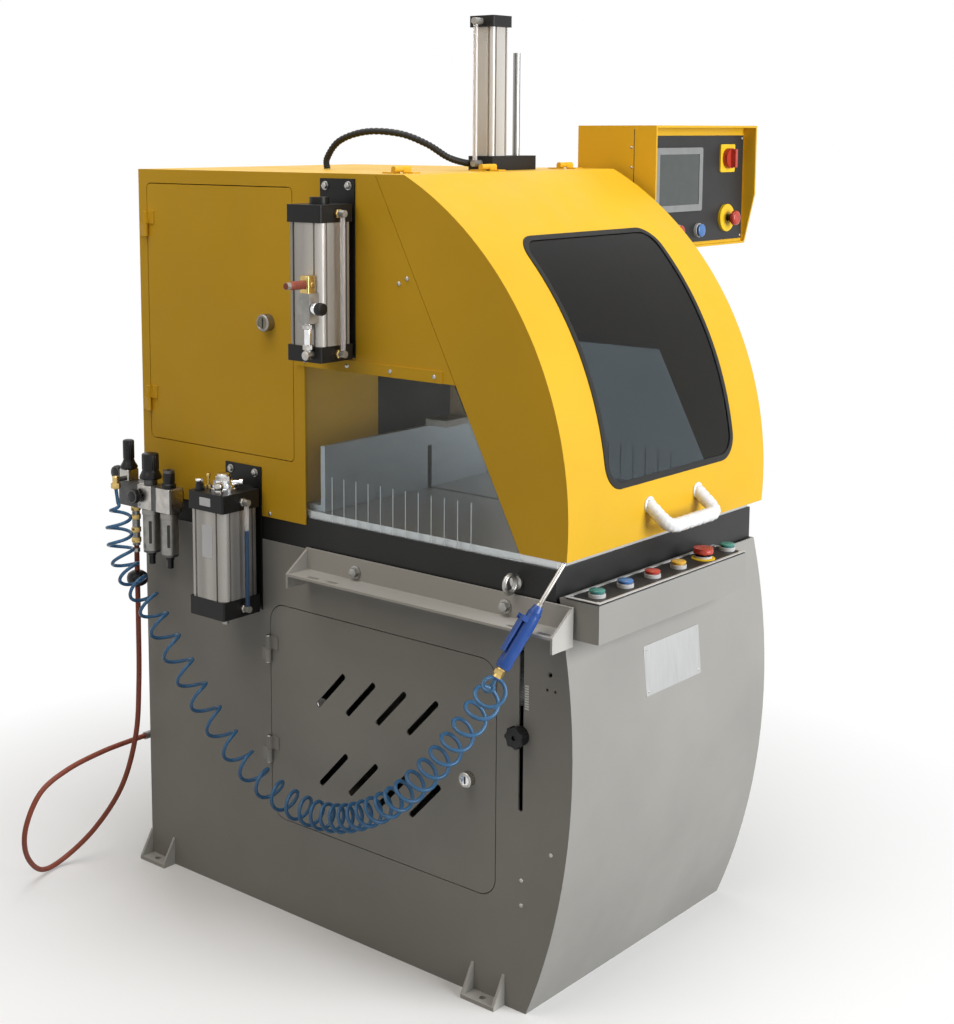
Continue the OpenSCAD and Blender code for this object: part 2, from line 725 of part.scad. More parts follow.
module swing_arm() {
  u = [cos(arm_angle), sin(arm_angle)];
  v = [-u[1], u[0]];
  p = [pivot_y, pivot_z];
  q = [arbor_y, arbor_z];
  tube_half = tube_r * cheek_share;
  arbor_half = arbor_tube_r * cheek_share;
  motor_half = motor_r * cheek_share;
  lug_mid = (lug_x[0] + lug_x[1]) / 2;
  lug_t = (lug_x[1] - lug_x[0]) / 2;
  color([0.3, 0.32, 0.34]) difference() {
    union() {
      rod_x(tube_r, [side_b[0], side_a[1]], pivot_y, pivot_z);
      rod_x(arbor_tube_r, house_x, arbor_y, arbor_z);
      for (x = [side_b, side_a]) along_x(x[0], x[1]) polygon([p + v * tube_half, p - v * tube_half,
        q - v * arbor_half, q + v * arbor_half]);
      along_x(side_a[0], side_a[1]) {
        translate(motor_at) circle(motor_r);
        polygon([p + [-tube_half, 0], p + [tube_half, 0], motor_at + [motor_half, 0],
          motor_at + [-motor_half, 0]]);
      }
      block([side_b[0], side_a[1]], [lift_y - web_half, lift_y + web_half],
        [lift_z + lift_eye + web_half, lift_z + lift_eye + 2 * web_half]);
      for (s = [-1, 1]) block([lift_x + s * lug_mid - lug_t, lift_x + s * lug_mid + lug_t],
        [lift_y - lug_half, lift_y + lug_half], [lift_z - lug_half,
          lift_z + lift_eye + lug_share * web_half]);
    }
    rod_x(pivot_r + run, [0, body_w], pivot_y, pivot_z);
    rod_x(arbor_r + run, [0, body_w], arbor_y, arbor_z);
    rod_x(motor_shaft_r * 2, [side_a[0] - over, side_a[1] + over], motor_at[0], motor_at[1]);
    along_x(lift_x - lug_x[1] - over, lift_x + lug_x[1] + over) translate([lift_y + lug_slot / 2, lift_z])
      slot_2d(lug_slot * 2 + 2 * (lift_pin_r + lug_clear), lift_pin_r + lug_clear, arm_drop_angle);
  }
}
module pivot_shaft() {
  color([0.5, 0.5, 0.52]) {
    rod_x(pivot_r, shaft_x, pivot_y, pivot_z);
    for (x0 = [shaft_x[0], shaft_x[1] - hanger_t]) difference() {
      block([x0, x0 + hanger_t], [pivot_y - hanger_half, pivot_y + hanger_half],
        [pivot_z - hanger_low, web_z - seat]);
      rod_x(pivot_r + run, [0, body_w], pivot_y, pivot_z);
    }
  }
}
module motor() {
  color([0.25, 0.3, 0.36]) difference() {
    union() {
      rod_x(motor_r, [motor_x[0] + motor_r / 2, motor_x[1]], motor_at[0], motor_at[1]);
      rod_x(motor_r * fan_share, motor_x, motor_at[0], motor_at[1]);
      block([0, motor_r], [motor_at[0] - motor_r / 2, motor_at[0] + motor_r / 2],
        [motor_at[1] - motor_r * box_share, motor_at[1]]);
    }
    rod_x(motor_shaft_r + run, [motor_x[1] - motor_r, motor_x[1] + over], motor_at[0], motor_at[1]);
  }
}
module motor_pulley() {
  color([0.4, 0.4, 0.42]) difference() {
    union() {
      rod_x(motor_shaft_r, [motor_x[1] - motor_r + gap, pulley_x[1]], motor_at[0], motor_at[1]);
      rod_x(groove_r + belt_t, pulley_x, motor_at[0], motor_at[1]);
    }
    pulley_grooves(motor_at[0], motor_at[1]);
  }
}
// Belt outline round both pulleys, which have one size
function belt_loop(r) = let (d = motor_at - [arbor_y, arbor_z], a = atan2(d[1], d[0])) concat(
  [for (i = [0 : belt_arc]) let (t = a + half_turn * (i / belt_arc + 1 / 2))
    [arbor_y + r * cos(t), arbor_z + r * sin(t)]],
  [for (i = [0 : belt_arc]) let (t = a + half_turn * (i / belt_arc - 1 / 2))
    [motor_at[0] + r * cos(t), motor_at[1] + r * sin(t)]]);
module drive_belts() {
  color([0.08, 0.08, 0.08]) for (i = [0, 1])
    along_x(groove_x[0] + i * groove_pitch + seat,
      groove_x[0] + i * groove_pitch + seat + belt_w) difference() {
      polygon(belt_loop(groove_r + belt_t));
      polygon(belt_loop(groove_r + 2 * seat));
    }
}
module lift_cylinder() {
  color([0.7, 0.7, 0.72]) difference() {
    rod_z(lift_barrel_r, lift_x, lift_y, lift_barrel_z);
    rod_z(lift_rod_r + run, lift_x, lift_y, [lift_barrel_z[1] - lift_rod_in - over, lift_barrel_z[1] + over]);
  }
}
module lift_rod() {
  color([0.8, 0.8, 0.82]) {
    rod_z(lift_rod_r, lift_x, lift_y, [lift_barrel_z[1] - lift_rod_in, lift_z]);
    rod_x(lift_eye, [lift_x - lift_eye_half, lift_x + lift_eye_half], lift_y, lift_z);
    rod_x(lift_pin_r, [lift_x - lug_x[1] - gap, lift_x + lug_x[1] + gap], lift_y, lift_z);
  }
}

// Clamp
clamp_at = [60, -148];
guide_x = 153;
rod_r = 10;
guide_r = 8;
barrel_half = 28;
barrel_h = 274;
cap_half = 33;
cap_h = 24;
base_x = [27, 182];
clamp_base = 31;
rod_up = 273;
guide_up = 254;
barrel_z = [top_z + clamp_base, top_z + clamp_base + barrel_h];
cap_top = barrel_z[1] + cap_h;
rod_top = top_z + rod_up;
guide_top = top_z + guide_up;
yoke_up = [297.7, 319.7];
pad_up = [167.7, 181.7];
yoke_z = [table_z + yoke_up[0], table_z + yoke_up[1]];
pad_z = [table_z + pad_up[0], table_z + pad_up[1]];
yoke_half_y = 28;
yoke_x = [-120, 190];
leg_t = 14;
leg_in = 24;
groove_w = 5;
groove_d = 4;
corner_share = 0.3;
groove_share = 0.62;
// Drawn square barrel with round corners and a groove beside each
module grooved_square(half) {
  difference() {
    round_rect(2 * half, 2 * half, half * corner_share);
    for (a = [0, 90, 180, 270], s = [-1, 1]) rotate(a)
      translate([half - groove_d, s * half * groove_share - groove_w / 2]) square([groove_d + over,
        groove_w]);
  }
}
module clamp_cylinder() {
  color([0.78, 0.78, 0.79]) difference() {
    translate([clamp_at[0], clamp_at[1], barrel_z[0] + seat])
      linear_extrude(barrel_z[1] - barrel_z[0] - 2 * seat)
      grooved_square(barrel_half);
    rod_z(rod_r + run, clamp_at[0], clamp_at[1], [barrel_z[0] - over, rod_top + over]);
  }
}
module clamp_ram() {
  color([0.7, 0.7, 0.72]) {
    rod_z(rod_r, clamp_at[0], clamp_at[1], [yoke_z[0] + leg_t / 2, rod_top]);
    rod_z(guide_r, guide_x, clamp_at[1], [yoke_z[0] + leg_t / 2, guide_top]);
    block(yoke_x, [clamp_at[1] - yoke_half_y, clamp_at[1] + yoke_half_y], yoke_z);
    for (s = [-1, 1]) {
      foot = s < 0 ? [yoke_x[0], -leg_in] : [leg_in, yoke_x[1]];
      leg = s < 0 ? [-leg_in - leg_t, -leg_in] : [leg_in, leg_in + leg_t];
      block(foot, [clamp_at[1] - yoke_half_y, clamp_at[1] + yoke_half_y], pad_z);
      block(leg, [clamp_at[1] - yoke_half_y, clamp_at[1] + yoke_half_y], [pad_z[0], yoke_z[1]]);
    }
  }
}

// Tanks, their caps, brackets, sight tubes and fittings
tank_out = 15;
tank_x = left_x - tank_out;
up_half = 47;
up_y = -98;
up_down = [371, 339, 94, 59];
up_z = [for (d = up_down) top_z - d];
low_half = 54;
low_y = 186.5;
low_up = [-157, -117, 76, 115];
low_z = [for (d = low_up) cab_h + d];
bracket_t = 3;
up_plate = [-138, -43];
up_plate_down = 10;
up_plate_top = top_z - up_plate_down;
low_plate = [140, 251];
low_plate_up = 159;
low_plate_top = cab_h + low_plate_up;
sight_r = 5;
sight_out = 16;
sight_in = 14;
union_r = 7;
boss_r = 20;
boss_h = 14;
valve = [26, 34, 60];
valve_up = 80;
valve_z = up_z[0] + valve_up;
valve_top = valve_z + valve[2];
valve_front = 23;
valve_y = up_y - valve_front;
cross_half = 11;
cross_h = 34;
stub_out = 47;
valve_knob_r = 11;
valve_knob_h = 26;
valve_stem_r = 5;
flange_fill_r = 22;
fill_h = 12;
breather_r = 9;
breather_h = 34;
stub_r = 7;
stub_h = 26;
up_x = tank_x - up_half;
low_x = tank_x - low_half;
sight_up_y = up_y - up_half - sight_out;
sight_low_y = low_y - low_half - sight_out;
cap_mid_up = [(up_z[0] + up_z[1]) / 2, (up_z[2] + up_z[3]) / 2];
cap_mid_low = [(low_z[0] + low_z[1]) / 2, (low_z[2] + low_z[3]) / 2];

module tank_barrels() {
  color([0.75, 0.75, 0.76]) {
    translate([up_x, up_y, up_z[1] + seat])
      linear_extrude(up_z[2] - up_z[1] - 2 * seat) grooved_square(up_half - gap);
    translate([low_x, low_y, low_z[1] + seat]) linear_extrude(low_z[2] - low_z[1] - 2 * seat)
      grooved_square(low_half - gap);
  }
}
module end_caps() {
  color([0.08, 0.08, 0.08]) {
    for (z = [[up_z[0], up_z[1]], [up_z[2], up_z[3]]])
      translate([up_x, up_y, z[0]])
        linear_extrude(z[1] - z[0]) round_rect(2 * up_half, 2 * up_half, groove_d);
    rod_z(boss_r, up_x, up_y, [up_z[3] - gap, up_z[3] + boss_h]);
    for (z = [[low_z[0], low_z[1]], [low_z[2], low_z[3]]])
      translate([low_x, low_y, z[0]])
        linear_extrude(z[1] - z[0]) round_rect(2 * low_half, 2 * low_half, groove_d);
    translate([clamp_at[0], clamp_at[1], barrel_z[1]]) linear_extrude(cap_top - barrel_z[1])
      round_rect(2 * cap_half, 2 * cap_half, groove_d);
    difference() {
      block(base_x, [clamp_at[1] - cap_half, clamp_at[1] + cap_half], [top_z + seat, top_z + clamp_base]);
      rod_z(rod_r + run, clamp_at[0], clamp_at[1], [top_z - over, barrel_z[1]]);
      rod_z(guide_r + run, guide_x, clamp_at[1], [top_z - over, barrel_z[1]]);
    }
  }
}
module tank_brackets() {
  color([0.3, 0.3, 0.3]) {
    block([left_x - seat - bracket_t, left_x - seat], up_plate, [up_z[0], up_plate_top]);
    for (z = [[up_z[0], up_z[1]], [up_z[2], up_z[3]]])
      block([tank_x + seat, left_x - seat - bracket_t / 2], [up_y - up_half / 2, up_y + up_half / 2], z);
    block([left_x - seat - bracket_t, left_x - seat], low_plate, [low_z[0], low_plate_top]);
    for (z = [[low_z[0], low_z[1]], [low_z[2], low_z[3]]])
      block([tank_x + seat, left_x - seat - bracket_t / 2], [low_y - low_half / 2, low_y + low_half / 2], z);
  }
}
module clear_tubes() {
  color([0.8, 0.85, 0.9, 0.5]) {
    rod_z(sight_r, up_x, sight_up_y, [cap_mid_up[0] + union_r + seat, cap_mid_up[1] - union_r - seat]);
    rod_z(sight_r, low_x, sight_low_y, [cap_mid_low[0] + union_r + seat, cap_mid_low[1] - union_r - seat]);
    rod_z(sight_r, clamp_tube_x, clamp_at[1], [base_elbow_z + union_r + seat,
      clamp_elbow_z - union_r - seat]);
  }
}
clamp_tube_x = 8;
clamp_elbow_z = (barrel_z[1] + cap_top) / 2;
base_elbow_z = top_z + clamp_base / 2;
coupler_off = [-59, 34];
coupler_z = [cab_h + coupler_off[0], cab_h + coupler_off[1]];
coupler_r = 9;
bulkhead_off = [60, 31];
bulkhead_z = 285;
bulkhead_at = [left_x + bulkhead_off[0], rear_y + bulkhead_off[1], bulkhead_z];
bulkhead_in = 8;
bulkhead_end = left_x + bulkhead_in;
module tank_fittings() {
  color([0.75, 0.62, 0.3]) {
    for (z = cap_mid_up) sight_union(up_x, up_y - up_half, sight_up_y, z);
    for (z = cap_mid_low) sight_union(low_x, low_y - low_half, sight_low_y, z);
    for (z = [base_elbow_z, clamp_elbow_z])
      rod_x(union_r, [clamp_tube_x - union_r, base_x[0] - seat], clamp_at[1], z);
    difference() {
      block([valve_face - valve[0], valve_face], [valve_y - valve[1] / 2, valve_y + valve[1] / 2],
        [valve_z, valve_top]);
      rod_y(valve_stem_r + run, valve_x, [valve_y - valve[1], valve_y - valve[1] / 2 + sight_in],
        valve_z + valve[2] / 2);
    }
    block([valve_x - cross_half, valve_x + cross_half], [valve_y - cross_half, valve_y + cross_half],
      [valve_top - gap, valve_top + cross_h]);
    rod_x(stub_r, [valve_face - valve[0] - stub_out, valve_x], valve_y, valve_top + cross_h / 2);
    rod_z(stub_r, valve_x, valve_y, [cap_mid_up[0], valve_z + gap]);
    rod_x(breather_r, [valve_x - breather_r, up_x - up_half - seat], valve_y, cap_mid_up[0]);
    rod_z(flange_fill_r, low_x, low_y, [low_z[3] + seat, low_z[3] + fill_h]);
    rod_z(breather_r, low_x, low_y, [low_z[3] + fill_h / 2, low_z[3] + breather_h]);
    rod_z(stub_r, low_x, low_y, [low_z[0] - stub_h, low_z[0] - seat]);
    rod_z(coupler_r, unit_x, coupler_y, [coupler_z[0] + seat, coupler_z[1] - seat]);
    rod_y(coupler_r, bulkhead_at[0], [rear_y + seat, bulkhead_at[1] + coupler_r], bulkhead_at[2]);
    rod_x(coupler_r, [bulkhead_end + seat, bulkhead_at[0]], bulkhead_at[1], bulkhead_at[2]);
  }
}
valve_face = up_x - up_half + gap - seat;
valve_x = valve_face - valve[0] / 2;
module sight_union(x, y_face, y, z) {
  rod_y(union_r, x, [y - union_r, y_face - seat], z);
}
module flow_knob() {
  y1 = valve_y - valve[1] / 2 - seat;
  color([0.08, 0.08, 0.08]) {
    rod_y(valve_knob_r, valve_x, [y1 - valve_knob_h, y1], valve_z + valve[2] / 2);
    rod_y(valve_stem_r, valve_x, [y1 - valve_knob_h / 2, y1 + sight_in - gap], valve_z + valve[2] / 2);
  }
}

// Air unit, placed from the cabinet's left side, rear and top
unit_out = 60;
unit_x = left_x - unit_out;
unit_up = [35, 90];
unit_z = [cab_h + unit_up[0], cab_h + unit_up[1]];
unit_in = [179, 4];
unit_y = [rear_y - unit_in[0], rear_y - unit_in[1]];
coupler_in = 38;
coupler_y = rear_y - coupler_in;
unit_half = 20;
bowl_in = [92, 154];
bowl_y = [rear_y - bowl_in[0], rear_y - bowl_in[1]];
bowl_r = 19;
bowl_down = 65;
bowl_z = cab_h - bowl_down;
drain_r = 5;
drain_down = 93;
drain_z = cab_h - drain_down;
knob_r = 19;
knob_up = [103, 161];
knob_stem_r = 7;
stem_in = 10;
neck_r = 15;
neck_up = 101;
neck_z = cab_h + neck_up;
dome_r = 13;
dome_up = 130;
small_in = 17;
small_at = rear_y - small_in;
small_half = 15;
small_knob_r = 12;
small_knob_up = [117, 183];
small_neck_up = 115;
small_neck_z = cab_h + small_neck_up;
skirt = 5;
skirt_h = 20;
gauge_r = 15;
gauge_t = 14;
gauge_stem_r = 6;
gauge_in = 74;
gauge_up = 65;
small_gauge_out = 16;
small_gauge_up = 103;
outlet_out = 105;
outlet_in = 24;
outlet_up = 77;
outlet_h = 20;
outlet_r = 7;
outlet_at = [left_x - outlet_out, rear_y - outlet_in, cab_h + outlet_up];
unit_arm_up = [45, 70];
unit_arm_in = [134, 109];
// Round gauge that faces away from the cabinet
module unit_gauge(x, y, z) {
  rod_x(gauge_r, [x - gauge_t, x], y, z);
}
module air_unit() {
  gauge_x = unit_x - unit_half - gauge_t / 2;
  small_gauge_y = rear_y + small_gauge_out;
  color([0.5, 0.5, 0.52]) {
    difference() {
      union() {
        block([unit_x - unit_half, unit_x + unit_half], unit_y, unit_z);
        rod_z(neck_r, unit_x, bowl_y[0], [unit_z[0], neck_z]);
        rod_z(dome_r, unit_x, bowl_y[1], [unit_z[0], cab_h + dome_up]);
        rod_z(small_half, unit_x, small_at, [unit_z[0], small_neck_z]);
        block([unit_x, left_x - seat], [rear_y - unit_arm_in[0], rear_y - unit_arm_in[1]],
          [cab_h + unit_arm_up[0], cab_h + unit_arm_up[1]]);
        rod_x(gauge_stem_r, [gauge_x - gauge_t / 2, unit_x], rear_y - gauge_in, cab_h + gauge_up);
        unit_gauge(gauge_x, rear_y - gauge_in, cab_h + gauge_up);
        rod_y(gauge_stem_r, unit_x - gauge_t / 2, [small_at, small_gauge_y], cab_h + small_gauge_up);
        unit_gauge(unit_x, small_gauge_y, cab_h + small_gauge_up);
        rod_x(outlet_r - gap, [outlet_at[0], unit_x], outlet_at[1], outlet_at[2] + outlet_h);
        rod_z(outlet_r, outlet_at[0], outlet_at[1], [outlet_at[2] + seat,
          outlet_at[2] + outlet_h + outlet_r]);
      }
      rod_z(knob_stem_r + run, unit_x, bowl_y[0], [neck_z - stem_in - over, neck_z + over]);
      rod_z(knob_stem_r + run, unit_x, small_at, [small_neck_z - stem_in - over, small_neck_z + over]);
    }
    for (y = bowl_y) {
      rod_z(bowl_r, unit_x, y, [bowl_z, unit_z[0] - seat]);
      rod_z(drain_r, unit_x, y, [drain_z, bowl_z + gap]);
    }
  }
}
// Knob with a wider skirt at its foot
module turn_knob(r, y, up, neck) {
  color([0.1, 0.1, 0.1]) {
    rod_z(r, unit_x, y, [cab_h + up[0], cab_h + up[1]]);
    rod_z(r + skirt, unit_x, y, [cab_h + up[0], cab_h + up[0] + skirt_h]);
    rod_z(knob_stem_r, unit_x, y, [neck - stem_in, cab_h + up[0] + gap]);
  }
}
module regulator_knob() {
  turn_knob(knob_r, bowl_y[0], knob_up, neck_z);
}
module small_regulator_knob() {
  turn_knob(small_knob_r, small_at, small_knob_up, small_neck_z);
}

// Outfeed bracket, its bolts and the lifting eye
tray_in = 3;
tray_rear = 4;
tray_y = [front_y + tray_in, tray_rear];
tray_t = 5;
tray_up = 5;
tray_down = 40;
tray_low_down = 71;
tray_top = cab_h + tray_up;
tray_z = cab_h - tray_down;
tray_low = cab_h - tray_low_down;
tray_out = 65;
tray_bolt_y = -140;
tray_bolt_in = 157;
tray_bolt_down = [23, 21];
tray_bolts = [[tray_bolt_y, cab_h - tray_bolt_down[0]], [front_y + tray_bolt_in, cab_h - tray_bolt_down[1]]];
tray_bolt_r = 6;
tray_slot_len = 26;
bolt_head_r = 10;
bolt_head_t = 8;
washer_r = 14;
washer_t = 2.5;
out_slot_rear = [-62, -115];
out_slot_front = [104, 34];
out_slots = concat(out_slot_rear, [for (d = out_slot_front) front_y + d]);
out_slot_len = 34;
out_slot_r = 5.5;
out_slot_in = 14;
eye_in = 136;
eye_up = 28.75;
eye_at = [front_y + eye_in, deck_z + eye_up];
eye_r = 17;
eye_bar = 5;
eye_stem = 8;
eye_collar_r = 14;
eye_collar_t = 6;
tray_x = left_x - seat;
module outfeed_bracket() {
  color([0.4, 0.4, 0.38]) difference() {
    union() {
      block([tray_x - tray_t, tray_x], tray_y, [tray_z - tray_t, tray_top]);
      block([tray_x - tray_out, tray_x], tray_y, [tray_z - tray_t, tray_z]);
      for (y0 = [tray_y[0], tray_y[1] - tray_t]) along_y(y0, y0 + tray_t)
        polygon([[tray_x, tray_top], [tray_x - tray_out, tray_z], [tray_x - tray_out, tray_low],
          [tray_x, tray_low]]);
    }
    for (b = tray_bolts) along_x(tray_x - tray_t - over, tray_x + over)
      translate(b) slot_2d(tray_slot_len, tray_bolt_r + seat, 90);
    for (y = out_slots) translate([tray_x - tray_out + out_slot_in, y, tray_z - tray_t - over])
      linear_extrude(tray_t + 2 * over) slot_2d(out_slot_len, out_slot_r, 90);
  }
}
module bracket_bolts() {
  x = tray_x - tray_t - seat;
  color([0.75, 0.75, 0.76]) for (b = tray_bolts) {
    rod_x(washer_r, [x - washer_t, x], b[0], b[1]);
    along_x(x - washer_t - bolt_head_t, x - washer_t / 2) translate(b) circle(bolt_head_r, $fn = 6);
    rod_x(tray_bolt_r, [x - gap, tray_x], b[0], b[1]);
  }
}
module lifting_eye() {
  x = -deck_half;
  color([0.35, 0.35, 0.36]) {
    translate([x - seat - eye_collar_t - eye_r, eye_at[0], eye_at[1]])
      rotate([90, 0, 0]) rotate_extrude() translate([eye_r, 0]) circle(eye_bar);
    rod_x(eye_collar_r, [x - seat - eye_collar_t, x - seat], eye_at[0], eye_at[1]);
    rod_x(eye_stem - seat, [x - seat - eye_collar_t, x + deck_wall], eye_at[0], eye_at[1]);
  }
}

// Front control box
box_in = 6;
box_w = 529;
box_out = 50;
box_back = 47;
box_up = [-59.25, 14.75];
box_x = [left_x + box_in, left_x + box_in + box_w];
box_y = [front_y - box_out, front_y + box_back];
box_z = [deck_z + box_up[0], deck_z + box_up[1]];
plate_t = 3;
plate_rim = 2;
plate_in = 26;
plate_back = front_y + plate_in;
box_wall_in = 19;
button_out = 15;
button_in = 43;
button_row = front_y - button_out;
button_x0 = box_x[0] + button_in;
buttons = 6;
stop_at = 4;
button_h = 9;
button_up = 10;
stem_r = 7;
stem_len = 26;
ring_w = 3.5;
ring_h = 7;
stop_base_r = 17;
stop_h = 11;
face_z = box_z[1] + seat + plate_t;
function button_x(i) = button_x0 + i * button_pitch;
module control_box() {
  color([0.62, 0.62, 0.62]) difference() {
    block(box_x, box_y, box_z);
    block([box_x[0] + skin, box_x[1] - skin], [box_y[0] + skin, front_y + box_wall_in],
      [box_z[0] + skin, box_z[1] + over]);
    along_x(box_x[0] - over, box_x[1] + over)
      translate([front_arc_y, front_arc_z]) circle(front_r + seat, $fn = arc_fn);
    block([box_x[0] - over, box_x[1] + over], [-deck_front - seat, 0], [deck_z - over, box_z[1] + over]);
  }
}
// Black plates of the front box and of the console, with the rings round their buttons
module control_plates() {
  color([0.07, 0.07, 0.07]) {
    difference() {
      union() {
        block([box_x[0] + plate_rim, box_x[1] - plate_rim], [box_y[0] + plate_rim, plate_back],
          [box_z[1] + seat, face_z]);
        for (i = [0 : buttons - 1]) rod_z(i == stop_at ? stop_base_r : button_r + ring_w, button_x(i),
          button_row,
          [face_z - plate_t / 2, face_z + ring_h]);
      }
      for (i = [0 : buttons - 1]) {
        rod_z(stem_r + run, button_x(i), button_row, [box_z[0], face_z + ring_h + over]);
        if (i != stop_at) rod_z(button_r + seat, button_x(i), button_row,
          [face_z + plate_t / 3, face_z + ring_h + over]);
      }
    }
    difference() {
      union() {
        block([con_x[0] + con_wall + seat, con_x[1] - con_wall - con_rim[0]], con_plate_y,
          [con_z[0] + con_wall + con_rim[1], con_z[1] - con_wall - con_rim[2]]);
        for (p = con_buttons) rod_y(button_r + ring_w, p[0], [con_plate_y[0] - ring_h, con_plate_y[1]], p[1]);
        rod_y(con_disc_r, con_stop_at[0], [con_plate_y[0] - ring_h, con_plate_y[1]], con_stop_at[1]);
        block([con_switch_at[0] - con_disc_r, con_switch_at[0] + con_disc_r],
          [con_plate_y[0] - ring_h / 2, con_plate_y[1]],
            [con_switch_at[1] - con_disc_r, con_switch_at[1] + con_disc_r]);
      }
      for (p = con_buttons) {
        rod_y(stem_r + run, p[0], [con_y[0], con_plate_y[1] + over], p[1]);
        rod_y(button_r + seat, p[0], [con_y[0], con_plate_y[0] - plate_t / 3], p[1]);
      }
      for (p = [con_stop_at, con_switch_at]) rod_y(stem_r + run, p[0],
        [con_y[0], con_plate_y[1] + over], p[1]);
    }
  }
}
module push_button(i) {
  z0 = face_z + ring_h - button_h / 3;
  rod_z(button_r, button_x(i), button_row, [z0, z0 + button_up]);
  rod_z(stem_r, button_x(i), button_row, [z0 - stem_len, z0 + gap]);
}
module teal_button() {
  color([0.1, 0.5, 0.5]) push_button(0);
}
module blue_button() {
  color([0.1, 0.25, 0.7]) push_button(1);
}
module red_button() {
  color([0.75, 0.08, 0.08]) push_button(2);
}
module yellow_button() {
  color([0.9, 0.75, 0.1]) push_button(3);
}
module stop_button() {
  z0 = face_z + ring_h + over;
  color([0.8, 0.05, 0.05]) {
    rod_z(stop_r, button_x(stop_at), button_row, [z0, z0 + stop_h]);
    rod_z(stem_r, button_x(stop_at), button_row, [z0 - stem_len, z0 + gap]);
  }
}
module green_button() {
  color([0.1, 0.55, 0.2]) push_button(buttons - 1);
}

// Side console
con_out = [20, 466];
con_up = [-187, 97];
con_x = [half_w + con_out[0], half_w + con_out[1]];
con_y = [-367, -155];
con_z = [top_z + con_up[0], top_z + con_up[1]];
function on_console(p) = [half_w + p[0], top_z + p[1]];
con_wall = 5;
con_plate_y = [-338, -333];
con_arm_y = [-225, -165];
con_arm_up = [-82, -12];
con_arm_z = [top_z + con_arm_up[0], top_z + con_arm_up[1]];
con_screen = on_console([155, -27]);
con_screen_w = 200;
con_screen_h = 147;
con_screen_t = 8;
con_switch_at = on_console([375, 20]);
con_stop_at = on_console([375, -122]);
con_buttons = [on_console([160, -147]), on_console([250, -147])];
con_rim = [9, 8, 18];
con_taper_up = 120;
con_taper_in = 27;
con_disc_r = 32;
con_lip = 6;
switch_r = 24;
switch_h = 24;
switch_grip = 10;
module console_box() {
  color([0.88, 0.7, 0.22]) difference() {
    union() {
      block(con_x, con_y, con_z);
      block([half_w + seat, con_x[0] + over], con_arm_y, con_arm_z);
    }
    block([con_x[0] + con_wall, con_x[1] - con_wall], [con_y[0] - over, con_plate_y[1] + seat],
      [con_z[0] + con_wall, con_z[1] - con_wall]);
    block([con_x[0] + con_wall, con_x[1] - con_wall], [con_plate_y[1] + seat + con_wall, con_y[1] - con_wall],
      [con_z[0] + con_wall, con_z[1] - con_wall]);
    along_x(con_x[0] - over, con_x[1] + over) polygon([[con_y[0] - over, con_z[0] - over],
      [con_y[0] + con_taper_in, con_z[0] - over], [con_y[0] + con_taper_in, con_z[0]],
      [con_y[0], con_z[0] + con_taper_up], [con_y[0] - over, con_z[0] + con_taper_up]]);
    for (p = concat(con_buttons, [con_stop_at, con_switch_at]))
      rod_y(stem_r + gap, p[0], [con_plate_y[1], con_plate_y[1] + con_wall + over], p[1]);
  }
}
module console_screen() {
  y1 = con_plate_y[0] - seat;
  color([0.2, 0.22, 0.25]) difference() {
    along_y(y1 - con_screen_t, y1) translate(con_screen) round_rect(con_screen_w, con_screen_h, con_lip);
    along_y(y1 - con_screen_t - over, y1 - con_screen_t + gap) translate(con_screen)
      round_rect(con_screen_w - 5 * con_lip, con_screen_h - 5 * con_lip, con_lip / 2);
  }
}
module console_switch() {
  y1 = con_plate_y[0] - ring_h / 2 - seat;
  color([0.8, 0.06, 0.06]) {
    rod_y(switch_r, con_switch_at[0], [y1 - switch_h / 2, y1], con_switch_at[1]);
    block([con_switch_at[0] - switch_grip / 2, con_switch_at[0] + switch_grip / 2], [y1 - switch_h, y1 - gap],
      [con_switch_at[1] - switch_r * cheek_share, con_switch_at[1] + switch_r * cheek_share]);
    rod_y(stem_r, con_switch_at[0], [y1 - gap, con_plate_y[1] + over], con_switch_at[1]);
  }
}
module console_stop() {
  y1 = con_plate_y[0] - ring_h - over;
  color([0.8, 0.05, 0.05]) {
    rod_y(stop_r, con_stop_at[0], [y1 - stop_h, y1], con_stop_at[1]);
    rod_y(stem_r, con_stop_at[0], [y1 - gap, con_plate_y[1] + over], con_stop_at[1]);
  }
}
module console_button(p) {
  y1 = con_plate_y[0] - ring_h + button_h / 3;
  rod_y(button_r, p[0], [y1 - button_up, y1], p[1]);
  rod_y(stem_r, p[0], [y1 - gap, con_plate_y[1] + over], p[1]);
}
module console_red_button() {
  color([0.75, 0.08, 0.08]) console_button(con_buttons[0]);
}
module console_blue_button() {
  color([0.1, 0.25, 0.7]) console_button(con_buttons[1]);
}

